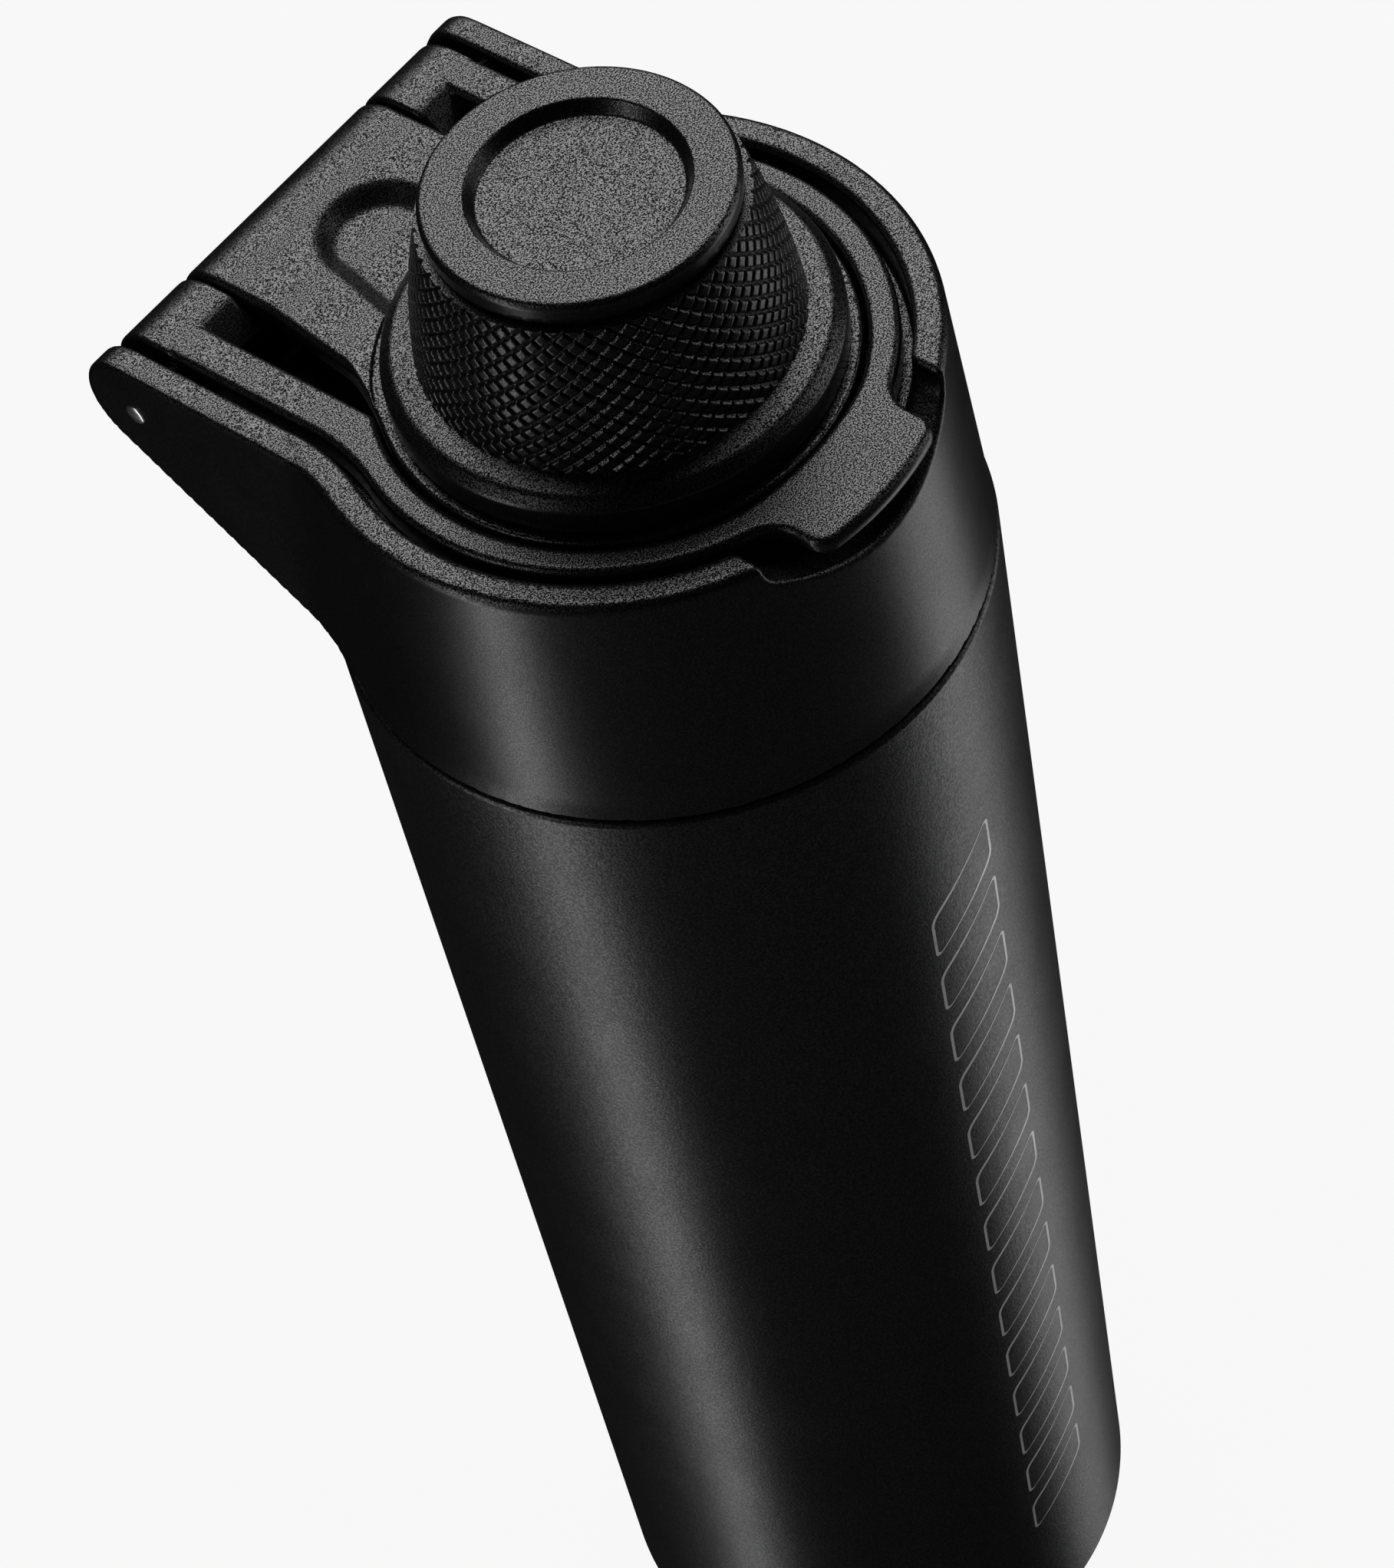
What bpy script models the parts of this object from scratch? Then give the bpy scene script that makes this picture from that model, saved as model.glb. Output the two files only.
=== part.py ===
"""Insulated bicycle drinking bottle with a screw lid, a fold-up carry loop and a quarter-turn cap on an arm.

Metres, +Z up, origin at the middle of the base, lid hinge towards +Y, thumb tab of the loop towards -Y.
"""
import math

import bmesh
import bpy

# ---------------------------------------------------------------- driving dimensions

CLEARANCE = 0.0003          # between pieces that touch
RUNNING_GAP = 0.0004        # between hinge leaves that turn side by side

# bottle
BODY_RADIUS = 0.0365
RIM_HEIGHT = 0.2514         # from the standing surface to the rim of the lid
SHELL_WALL = 0.0005
VACUUM_GAP = 0.0025
BASE_FILLET = 0.0025
BASE_RAISE = 0.0005         # steel edge above the standing surface
BASE_LIP = 0.0050           # width of the edge turned in under the shell
PAD_THICKNESS = 0.0013
BASE_PLATE_WALL = 0.0006
BASE_GAP = 0.0055           # from base plate to inner vessel
PLUG_RADIUS = 0.0015
GETTER_RADIUS = 0.0040
GETTER_HEIGHT = 0.0020
FOIL_THICKNESS = 0.0001

# neck and screw thread
NECK_WALL = 0.0012
NECK_DROP = 0.0207          # from the lid rim down to the mouth
THREAD_PITCH = 0.0040
THREAD_TURNS = 1.25
THREAD_WIRE = 0.0011        # radius of the round thread section
THREAD_PLAY = 0.0019        # from neck wall to the lid's inner wall
THREAD_START = 0.0085       # from the mouth down to the low end of the neck thread
THREAD_ROOT = 0.0001        # how far the ridge's centre line stands off its wall

# lid shell
LID_HEIGHT = 0.0331
RIM_STEP = 0.0025           # how far the rim stands inside the body radius
RIM_WIDTH = 0.0036
RIM_EDGE = 0.0006
LID_WALL = 0.0020
LID_FLARE = ((0.25, 0.12), (0.62, 0.36), (0.87, 0.62))  # share of the height down, share of the step out
SEAM_INSET = 0.0001         # lid's lower edge inside the body radius
LEDGE_DEPTH = 0.0046
LEDGE_WALL = 0.0020
WELL_STEP = 0.0038          # width of the ledge under the loop
DECK_DEPTH = 0.0146
DECK_WALL = 0.0020
NOTCH_HALF_ANGLE = math.radians(26.5)
NOTCH_DEPTH = 0.0060
EAR_WIDTH = 0.0036
EAR_INSET = 0.0042          # how far the ear's outer face stands inside the rim radius
EAR_BLEND = 0.0200
EAR_RADIUS = 0.0069
UNDERSIDE_SLOPE = math.radians(35.5)
CRADLE_GAP = 0.0012

# lid insert, gasket and spout
INSERT_WALL = 0.0020
INSERT_ROOF = 0.0018
INSERT_STEP = 0.0011        # how far the insert's outside stands beyond the groove
INSERT_PLAY = 0.0006        # to the collar round it
INSERT_RAISE = 0.0005       # insert's lower edge above the lid's
GASKET_THICKNESS = 0.0014
SPOUT_RADIUS = 0.0115
SPOUT_WALL = 0.0022
SPOUT_TOP = 0.0020          # below the rim
SPOUT_FLANGE_WIDTH = 0.0071
SPOUT_FLANGE = 0.0020
SPOUT_SEAL = 0.0007
LUG_HEIGHT = 0.0020
LUG_REACH = 0.0027
LUG_HALF_ANGLE = math.radians(22)
LUG_PLAY = 0.0005           # under the lugs, and from the skirt's lugs to the spout's

# hinge
HINGE_REACH = 0.0146        # from the loop's outer edge back to the pin
HINGE_DROP = 0.0073         # from the rim down to the pin
PIN_RADIUS = 0.00125
KNUCKLE_RADIUS = 0.0066

# carry loop
GROOVE_GAP = 0.0016         # between rim and loop
LOOP_WIDTH = 0.0030
LOOP_TOP = 0.0003           # below the rim
LOOP_THICKNESS = 0.0040
LOOP_ARM_WIDTH = 0.0050
EAR_PLAY = 0.0012           # between ear and loop arm
TAB_HALF_WIDTH = 0.0095
TAB_REACH = 0.0064          # beyond the loop's outer edge
TAB_THICKNESS = 0.0020
TAB_CORNER = 0.0015

# cap arm
ARM_GAP = 0.00077           # between loop and the arm's ring
ARM_HALF_WIDTH = 0.0148
ARM_TOP = 0.0002            # below the rim
ARM_RING_TOP = 0.00055
ARM_BOTTOM = 0.0035
POCKET_DEPTH = 0.0016
POCKET_HALF_WIDTH = 0.0065
POCKET_BACK = 0.0042        # from the pin forward to the pocket's round end
POCKET_FLARE = 0.0020       # how much wider each side is at the ring

# cap
FLANGE_STEP = 0.00086       # how far the flange stands inside the arm's ring
FLANGE_EDGE = 0.0027        # height of the flange's upright side
FLANGE_CROWN = 0.0020
FLANGE_SHOULDER = ((1 / 3, 0.55), (0.0, -0.25))  # share of the step in, share of the crown up
GRIP_PLAY = 0.00097         # from the skirt to the bore in the foot of the grip
GRIP_HEIGHT = 0.0170
GRIP_TAPER = 0.0034
GRIP_WALL = 0.0025
GRIP_TOP_WALL = 0.0031      # disc's edge beyond the bore under it
GRIP_BULGE = 0.55           # how much sooner the barrel widens than a cone
BARREL_STEPS = 5
DISC_HEIGHT = 0.0026
DISC_SHRINK = 0.0041        # how much smaller the disc is than the grip's foot
DISC_RECESS_STEP = 0.0048
DISC_RECESS_DEPTH = 0.0015
SPIGOT_LENGTH = 0.0040
SKIRT_GAP = 0.0039          # between spout and skirt
SKIRT_WALL = 0.0015
SKIRT_ROOF = 0.0015
SKIRT_DEPTH = 0.0090        # below the rim
SEAL_THICKNESS = 0.0025
SEAL_PLAY = 0.0005          # from the seal's edge to the skirt
RETAINER_WIDTH = 0.0032
RETAINER_THICKNESS = 0.0015

BODY_STEPS = 48
LID_STEPS = 48
SMALL_STEPS = 32
THREAD_STEPS = 30

# ---------------------------------------------------------------- sizes worked out from them

SEAM_Z = RIM_HEIGHT - LID_HEIGHT
SHELL_TOP = SEAM_Z - CLEARANCE
RIM_RADIUS = BODY_RADIUS - RIM_STEP
GROOVE_RADIUS = RIM_RADIUS - RIM_WIDTH
WELL_RADIUS = GROOVE_RADIUS - WELL_STEP
LOOP_OUTER = GROOVE_RADIUS - GROOVE_GAP
LOOP_INNER = LOOP_OUTER - LOOP_WIDTH
ARM_RING_OUTER = LOOP_INNER - ARM_GAP
FLANGE_RADIUS = ARM_RING_OUTER - FLANGE_STEP
HINGE_Y = LOOP_OUTER + HINGE_REACH
HINGE_Z = RIM_HEIGHT - HINGE_DROP
EAR_OUTER = RIM_RADIUS - EAR_INSET
EAR_INNER = EAR_OUTER - EAR_WIDTH
LOOP_ARM_OUTER = EAR_INNER - EAR_PLAY
LOOP_ARM_INNER = LOOP_ARM_OUTER - LOOP_ARM_WIDTH
HOLE_RADIUS = PIN_RADIUS + CLEARANCE
MOUTH_Z = RIM_HEIGHT - NECK_DROP
ROOF_TOP = RIM_HEIGHT - DECK_DEPTH - DECK_WALL - CLEARANCE
ROOF_BOTTOM = ROOF_TOP - INSERT_ROOF
INSERT_OUTER = GROOVE_RADIUS + INSERT_STEP
INSERT_INNER = INSERT_OUTER - INSERT_WALL
NECK_RADIUS = INSERT_INNER - THREAD_PLAY
NECK_BORE = NECK_RADIUS - NECK_WALL
VESSEL_RADIUS = BODY_RADIUS - SHELL_WALL - VACUUM_GAP
SKIRT_INNER = SPOUT_RADIUS + SKIRT_GAP
SKIRT_OUTER = SKIRT_INNER + SKIRT_WALL
GRIP_FOOT = SKIRT_OUTER + GRIP_PLAY + GRIP_WALL
GRIP_HEAD = GRIP_FOOT - GRIP_TAPER
DISC_RADIUS = GRIP_FOOT - DISC_SHRINK
ARM_BORE = SKIRT_OUTER + CLEARANCE
FLANGE_BOTTOM = RIM_HEIGHT - ARM_RING_TOP + CLEARANCE
GRIP_FOOT_Z = FLANGE_BOTTOM + FLANGE_EDGE + FLANGE_CROWN
GRIP_TOP_Z = GRIP_FOOT_Z + GRIP_HEIGHT
SPOUT_FLANGE_OUTER = SPOUT_RADIUS + SPOUT_FLANGE_WIDTH
SPOUT_TOP_Z = RIM_HEIGHT - SPOUT_TOP

# ---------------------------------------------------------------- scene and helpers

for leftover in list(bpy.data.objects):
    bpy.data.objects.remove(leftover, do_unlink=True)

parts = bpy.data.collections.new("insulated_bottle")
cutters = bpy.data.collections.new("cutters")
bpy.context.scene.collection.children.link(parts)
bpy.context.scene.collection.children.link(cutters)


def material(name, colour, roughness, metallic=0.0):
    """A plain Principled material."""
    made = bpy.data.materials.new(name)
    made.use_nodes = True
    shader = made.node_tree.nodes["Principled BSDF"]
    shader.inputs["Base Color"].default_value = (*colour, 1.0)
    shader.inputs["Roughness"].default_value = roughness
    shader.inputs["Metallic"].default_value = metallic
    return made


def add_part(obj, finish):
    """Put a finished piece in the parts collection with its material."""
    if not obj.users_collection:
        parts.objects.link(obj)
    obj.data.materials.append(finish)
    obj.data.shade_smooth()
    obj.data.set_sharp_from_angle(angle=math.radians(35))
    return obj


def baked(obj):
    """Replace an object by a mesh object of its evaluated shape in world space, with its seams welded."""
    bpy.context.view_layer.update()
    graph = bpy.context.evaluated_depsgraph_get()
    mesh = bpy.data.meshes.new_from_object(obj.evaluated_get(graph))
    mesh.transform(obj.matrix_world)
    name = obj.name
    bpy.data.objects.remove(obj, do_unlink=True)
    work = bmesh.new()
    work.from_mesh(mesh)
    bmesh.ops.remove_doubles(work, verts=work.verts, dist=0.000002)
    bmesh.ops.recalc_face_normals(work, faces=work.faces)
    work.to_mesh(mesh)
    work.free()
    mesh.name = name
    made = bpy.data.objects.new(name, mesh)
    return made


def turned(name, profile, steps, closed=True):
    """A profile of (radius, height) points turned about Z; its outer side runs from top to bottom."""
    mesh = bpy.data.meshes.new(name)
    count = len(profile)
    edges = [(i, i + 1) for i in range(count - 1)]
    if closed:
        edges.append((count - 1, 0))
    mesh.from_pydata([(radius, 0.0, height) for radius, height in profile], edges, [])
    obj = bpy.data.objects.new(name, mesh)
    parts.objects.link(obj)
    screw = obj.modifiers.new("turn", "SCREW")
    screw.axis = "Z"
    screw.steps = steps
    screw.render_steps = steps
    screw.use_merge_vertices = True
    screw.merge_threshold = 0.00001
    return obj


def plate(name, outline, low, high, along_x=False):
    """A flat outline given a thickness: along Z, or along X with the outline's points as (y, z)."""
    curve = bpy.data.curves.new(name, "CURVE")
    curve.dimensions = "2D"
    curve.fill_mode = "BOTH"
    curve.extrude = (high - low) / 2
    spline = curve.splines.new("POLY")
    spline.points.add(len(outline) - 1)
    for point, (u, v) in zip(spline.points, outline):
        point.co = (u, v, 0.0, 1.0)
    spline.use_cyclic_u = True
    obj = bpy.data.objects.new(name, curve)
    parts.objects.link(obj)
    middle = (high + low) / 2
    if along_x:
        obj.rotation_euler = (math.pi / 2, 0.0, math.pi / 2)
        obj.location = (middle, 0.0, 0.0)
    else:
        obj.location = (0.0, 0.0, middle)
    made = baked(obj)
    parts.objects.link(made)
    return made


def rod(name, radius, low, high, centre=(0.0, 0.0), steps=SMALL_STEPS, along_x=False):
    """A round bar along Z at (x, y), or along X at (y, z)."""
    middle = (low + high) / 2
    if along_x:
        place = (middle, centre[0], centre[1])
        turn = (0.0, math.pi / 2, 0.0)
    else:
        place = (centre[0], centre[1], middle)
        turn = (0.0, 0.0, 0.0)
    bpy.ops.mesh.primitive_cylinder_add(vertices=steps, radius=radius, depth=high - low,
                                        location=place, rotation=turn)
    obj = bpy.context.active_object
    obj.name = name
    for home in list(obj.users_collection):
        home.objects.unlink(obj)
    parts.objects.link(obj)
    made = baked(obj)
    parts.objects.link(made)
    return made


def as_cutter(obj):
    """File a shape with the cutters, hidden from render."""
    for home in list(obj.users_collection):
        home.objects.unlink(obj)
    cutters.objects.link(obj)
    obj.hide_render = True
    obj.display_type = "WIRE"
    return obj


def boolean(target, other, operation):
    """Cut, join or intersect the target with another shape."""
    step = target.modifiers.new(other.name, "BOOLEAN")
    step.operation = operation
    step.solver = "EXACT"
    step.object = as_cutter(other)


def arc(centre, radius, start, end, steps):
    """Points of an arc in degrees, both ends included."""
    angles = [math.radians(start + (end - start) * i / steps) for i in range(steps + 1)]
    return [(centre[0] + radius * math.cos(a), centre[1] + radius * math.sin(a)) for a in angles]


def helix(name, radius, low, turns, pitch, wire):
    """A round thread ridge: a wire wound as a right-hand helix from a low end."""
    curve = bpy.data.curves.new(name, "CURVE")
    curve.dimensions = "3D"
    curve.bevel_depth = wire
    curve.bevel_resolution = 2
    curve.use_fill_caps = True
    count = round(turns * THREAD_STEPS) + 1
    spline = curve.splines.new("POLY")
    spline.points.add(count - 1)
    for i, point in enumerate(spline.points):
        angle = 2 * math.pi * turns * i / (count - 1)
        point.co = (radius * math.cos(angle), radius * math.sin(angle),
                    low + pitch * angle / (2 * math.pi), 1.0)
    obj = bpy.data.objects.new(name, curve)
    parts.objects.link(obj)
    made = baked(obj)
    parts.objects.link(made)
    return made


def sector(inner, outer, middle, half_angle, steps=4):
    """Outline of a lug: a ring sector about Z."""
    first = math.degrees(middle - half_angle)
    last = math.degrees(middle + half_angle)
    return arc((0.0, 0.0), outer, first, last, steps) + arc((0.0, 0.0), inner, last, first, steps)


# ---------------------------------------------------------------- finishes

powder_coat = material("powder_coat", (0.014, 0.014, 0.015), 0.52)
bare_steel = material("bare_steel", (0.62, 0.61, 0.60), 0.30, 1.0)
copper = material("copper", (0.80, 0.42, 0.28), 0.35, 1.0)
lid_plastic = material("lid_plastic", (0.020, 0.020, 0.021), 0.48)
inner_plastic = material("inner_plastic", (0.030, 0.030, 0.032), 0.40)
silicone = material("silicone", (0.045, 0.045, 0.048), 0.65)

# ---------------------------------------------------------------- bottle

# outer shell: deep-drawn tube, edge turned in at the foot, flat shoulder under the lid
lip_bore = BODY_RADIUS - BASE_LIP
shell_inside = BODY_RADIUS - SHELL_WALL
shoulder_bore = NECK_RADIUS + CLEARANCE
foot = arc((BODY_RADIUS - BASE_FILLET, BASE_RAISE + BASE_FILLET), BASE_FILLET, 0, -90, 3)
inside_foot = arc((BODY_RADIUS - BASE_FILLET, BASE_RAISE + BASE_FILLET), BASE_FILLET - SHELL_WALL, -90, 0, 3)
outer_shell = turned("outer_shell", [
    (shoulder_bore, SHELL_TOP),
    (BODY_RADIUS - SHELL_WALL, SHELL_TOP),
    (BODY_RADIUS, SHELL_TOP - SHELL_WALL),
    *foot,
    (lip_bore, BASE_RAISE),
    (lip_bore, BASE_RAISE + SHELL_WALL),
    *inside_foot,
    (shell_inside, SHELL_TOP - 2 * SHELL_WALL),
    (shell_inside - SHELL_WALL, SHELL_TOP - SHELL_WALL),
    (shoulder_bore, SHELL_TOP - SHELL_WALL),
], BODY_STEPS)
add_part(outer_shell, powder_coat)

# inner vessel with the threaded neck
vessel_floor = BASE_RAISE + SHELL_WALL + CLEARANCE + BASE_PLATE_WALL + BASE_GAP
vessel_bore = VESSEL_RADIUS - SHELL_WALL
neck_root = SHELL_TOP - 2 * SHELL_WALL
vessel_fillet = 2 * BASE_FILLET
shoulder_drop = VESSEL_RADIUS - NECK_RADIUS + vessel_fillet
fillet_centre = (VESSEL_RADIUS - vessel_fillet, vessel_floor + vessel_fillet)
inside_fillet = arc(fillet_centre, vessel_fillet - SHELL_WALL, -90, 0, 3)
inner_vessel = turned("inner_vessel", [
    (0.0, vessel_floor + SHELL_WALL),
    *inside_fillet,
    (vessel_bore, neck_root - shoulder_drop),
    (NECK_BORE, neck_root),
    (NECK_BORE, MOUTH_Z),
    (NECK_RADIUS, MOUTH_Z),
    (NECK_RADIUS, neck_root),
    (VESSEL_RADIUS, neck_root - shoulder_drop),
    *arc(fillet_centre, vessel_fillet, 0, -90, 3),
    (0.0, vessel_floor),
], BODY_STEPS, closed=False)
thread_low = MOUTH_Z - THREAD_START
neck_thread = helix("neck_thread", NECK_RADIUS + THREAD_ROOT, thread_low,
                    THREAD_TURNS, THREAD_PITCH, THREAD_WIRE)
boolean(inner_vessel, neck_thread, "UNION")
add_part(inner_vessel, bare_steel)

# base plate welded in on the turned edge, with the evacuation hole and its plug
plate_low = BASE_RAISE + SHELL_WALL + CLEARANCE
plate_high = plate_low + BASE_PLATE_WALL
plate_radius = BODY_RADIUS - BASE_FILLET - CLEARANCE
base_plate = turned("base_plate", [
    (PLUG_RADIUS, plate_high),
    (plate_radius, plate_high),
    (plate_radius, plate_low),
    (PLUG_RADIUS, plate_low),
], BODY_STEPS)
add_part(base_plate, bare_steel)
vacuum_plug = rod("vacuum_plug", PLUG_RADIUS - CLEARANCE, plate_low, plate_high + SHELL_WALL, steps=16)
add_part(vacuum_plug, bare_steel)

# silicone foot set in the opening of the turned edge
pad_radius = lip_bore - CLEARANCE
base_pad = turned("base_pad", [
    (0.0, PAD_THICKNESS),
    (pad_radius, PAD_THICKNESS),
    (pad_radius, CLEARANCE),
    (pad_radius - CLEARANCE, 0.0),
    (0.0, 0.0),
], BODY_STEPS, closed=False)
add_part(base_pad, silicone)

# getter pill that keeps the vacuum, and the copper foil round the vessel
getter_place = (VESSEL_RADIUS / 2, 0.0)
getter_low = plate_high + CLEARANCE
getter = rod("getter_capsule", GETTER_RADIUS, getter_low, getter_low + GETTER_HEIGHT, getter_place, steps=20)
add_part(getter, bare_steel)
foil_radius = VESSEL_RADIUS + (VACUUM_GAP + FOIL_THICKNESS) / 2
foil_top = neck_root - shoulder_drop - BASE_FILLET
foil_bottom = vessel_floor + vessel_fillet
foil_wrap = turned("foil_wrap", [
    (foil_radius, foil_top),
    (foil_radius, foil_bottom),
    (foil_radius - FOIL_THICKNESS, foil_bottom),
    (foil_radius - FOIL_THICKNESS, foil_top),
], BODY_STEPS)
add_part(foil_wrap, copper)

# ---------------------------------------------------------------- lid insert, gasket and spout

insert_bottom = SEAM_Z + INSERT_RAISE
roof_bore = SPOUT_RADIUS + CLEARANCE
lid_insert = turned("lid_insert", [
    (roof_bore, ROOF_TOP),
    (INSERT_OUTER, ROOF_TOP),
    (INSERT_OUTER, insert_bottom),
    (INSERT_INNER, insert_bottom),
    (INSERT_INNER, ROOF_BOTTOM),
    (roof_bore, ROOF_BOTTOM),
], LID_STEPS)
insert_thread = helix("insert_thread", INSERT_INNER - THREAD_ROOT, thread_low - THREAD_PITCH / 2,
                      THREAD_TURNS, THREAD_PITCH, THREAD_WIRE)
boolean(lid_insert, insert_thread, "UNION")
add_part(lid_insert, inner_plastic)

gasket_high = ROOF_BOTTOM - CLEARANCE
gasket_low = MOUTH_Z + CLEARANCE
lid_gasket = turned("lid_gasket", [
    (NECK_BORE - SHELL_WALL, gasket_high),
    (INSERT_INNER - CLEARANCE, gasket_high),
    (INSERT_INNER - CLEARANCE, gasket_low),
    (NECK_BORE - SHELL_WALL, gasket_low),
], LID_STEPS)
add_part(lid_gasket, silicone)

# the spout stands on the insert's roof through the deck and carries two lugs for the cap
seal_low = ROOF_TOP + CLEARANCE
flange_low = seal_low + SPOUT_SEAL + CLEARANCE
flange_high = flange_low + SPOUT_FLANGE
spout_foot = ROOF_BOTTOM - INSERT_ROOF
spout_bore = SPOUT_RADIUS - SPOUT_WALL
spout = turned("spout", [
    (SPOUT_RADIUS, SPOUT_TOP_Z),
    (SPOUT_RADIUS, flange_high),
    (SPOUT_FLANGE_OUTER, flange_high),
    (SPOUT_FLANGE_OUTER, flange_low),
    (SPOUT_RADIUS, flange_low),
    (SPOUT_RADIUS, spout_foot),
    (spout_bore, spout_foot),
    (spout_bore, SPOUT_TOP_Z),
], SMALL_STEPS)
spout_lug_high = SPOUT_TOP_Z - LUG_HEIGHT / 2
spout_lug_low = spout_lug_high - LUG_HEIGHT
for side, middle in (("right", 0.0), ("left", math.pi)):
    lug = plate("spout_lug_" + side,
                sector(SPOUT_RADIUS - SPOUT_WALL / 2, SPOUT_RADIUS + LUG_REACH, middle, LUG_HALF_ANGLE),
                spout_lug_low, spout_lug_high)
    boolean(spout, lug, "UNION")
add_part(spout, inner_plastic)

spout_seal = turned("spout_seal", [
    (roof_bore, seal_low + SPOUT_SEAL),
    (roof_bore + SPOUT_FLANGE_WIDTH / 2, seal_low + SPOUT_SEAL),
    (roof_bore + SPOUT_FLANGE_WIDTH / 2, seal_low),
    (roof_bore, seal_low),
], SMALL_STEPS)
add_part(spout_seal, silicone)

# ---------------------------------------------------------------- lid collar

wall_gap = INSERT_OUTER + INSERT_PLAY
collar = turned("lid_collar", [
    (0.0, RIM_HEIGHT),
    (RIM_RADIUS - RIM_EDGE, RIM_HEIGHT),
    (RIM_RADIUS, RIM_HEIGHT - RIM_EDGE),
    *[(RIM_RADIUS + RIM_STEP * out, RIM_HEIGHT - LID_HEIGHT * down) for down, out in LID_FLARE],
    (BODY_RADIUS - SEAM_INSET, SEAM_Z),
    (BODY_RADIUS - SEAM_INSET, SEAM_Z - 2 * LID_WALL),
    (0.0, SEAM_Z - 2 * LID_WALL),
], LID_STEPS, closed=False)

# bracket: the plan with its blended flanks, kept where it lies inside the side profile
reach = HINGE_Y + 2 * EAR_RADIUS
blend_x = EAR_OUTER + EAR_BLEND
blend_y = math.sqrt((RIM_RADIUS + EAR_BLEND) ** 2 - blend_x ** 2)
meet = math.degrees(math.atan2(blend_y, blend_x))
blend_arc = arc((blend_x, blend_y), EAR_BLEND, 180, 180 + meet, 4)
flank = [(EAR_OUTER, reach), *blend_arc, (NECK_BORE / 2, blend_arc[-1][1])]
bracket = plate("bracket_plan", flank + [(-x, y) for x, y in reversed(flank)], SEAM_Z - LID_WALL, RIM_HEIGHT + LID_WALL)
slope_normal = -90 + math.degrees(UNDERSIDE_SLOPE)
tip = arc((HINGE_Y, HINGE_Z), EAR_RADIUS, 90, slope_normal, 8)
bracket_low = SEAM_Z - LID_WALL / 2
bracket_high = RIM_HEIGHT - CLEARANCE
slope_run = (tip[-1][1] - bracket_low) / math.tan(UNDERSIDE_SLOPE)
side_profile = [(0.0, bracket_high), (HINGE_Y - EAR_RADIUS / 2, bracket_high), *tip,
                (tip[-1][0] - slope_run, bracket_low), (0.0, bracket_low)]
profile_block = plate("bracket_side", side_profile, -BODY_RADIUS, BODY_RADIUS, along_x=True)
boolean(bracket, profile_block, "INTERSECT")
bracket = baked(bracket)
parts.objects.link(bracket)
boolean(collar, bracket, "UNION")
below = rod("below_seam", BODY_RADIUS + LID_WALL, SEAM_Z - 3 * LID_WALL, SEAM_Z, steps=LID_STEPS)
boolean(collar, below, "DIFFERENCE")

# recess for loop and arm down to the ledge, open to the rear between the ears
above = RIM_HEIGHT + LID_WALL
meet = math.degrees(math.acos(EAR_INNER / GROOVE_RADIUS))
recess_outline = [(-EAR_INNER, reach), *arc((0.0, 0.0), GROOVE_RADIUS, 180 - meet, 360 + meet, 36),
                  (EAR_INNER, reach)]
ledge_z = RIM_HEIGHT - LEDGE_DEPTH
boolean(collar, plate("recess", recess_outline, ledge_z, above), "DIFFERENCE")

# cradle under the hinge: a round trough just clear of the knuckles
trough = KNUCKLE_RADIUS + CRADLE_GAP
trough_profile = [*arc((HINGE_Y, HINGE_Z), trough, 180, 270, 6), (reach, HINGE_Z - trough),
                  (reach, above), (HINGE_Y - trough, above)]
boolean(collar, plate("trough", trough_profile, -EAR_INNER, EAR_INNER, along_x=True), "DIFFERENCE")

# well for the cap, hole in the deck, and the hollow underside that takes the insert
deck_z = RIM_HEIGHT - DECK_DEPTH
channel_top = ledge_z - LEDGE_WALL
boolean(collar, rod("well", WELL_RADIUS, deck_z, above, steps=LID_STEPS), "DIFFERENCE")
deck_bore = SPOUT_FLANGE_OUTER + RUNNING_GAP
boolean(collar, rod("deck_hole", deck_bore, deck_z - 2 * DECK_WALL, above), "DIFFERENCE")
well_outer = WELL_RADIUS + DECK_WALL
deck_bottom = deck_z - DECK_WALL
hollow = turned("hollow", [
    (well_outer, channel_top),
    (wall_gap, channel_top),
    (wall_gap, ROOF_TOP),
    (BODY_RADIUS - LID_WALL, SEAM_Z),
    (BODY_RADIUS - LID_WALL, SEAM_Z - 4 * LID_WALL),
    (0.0, SEAM_Z - 4 * LID_WALL),
    (0.0, deck_bottom),
    (well_outer, deck_bottom),
], LID_STEPS)
boolean(collar, hollow, "DIFFERENCE")

# finger notch at the front, through rim and ledge
notch_outline = sector(WELL_RADIUS + DECK_WALL / 2, BODY_RADIUS + LID_WALL, -math.pi / 2, NOTCH_HALF_ANGLE, 8)
boolean(collar, plate("notch", notch_outline, RIM_HEIGHT - NOTCH_DEPTH, above), "DIFFERENCE")
hinge_place = (HINGE_Y, HINGE_Z)
boolean(collar, rod("pin_hole", HOLE_RADIUS, -BODY_RADIUS, BODY_RADIUS, hinge_place, 16, along_x=True),
        "DIFFERENCE")
add_part(collar, lid_plastic)

pin_half = EAR_OUTER - CLEARANCE
hinge_pin = rod("hinge_pin", PIN_RADIUS, -pin_half, pin_half, hinge_place, 16, along_x=True)
add_part(hinge_pin, bare_steel)

# ---------------------------------------------------------------- carry loop

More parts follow.
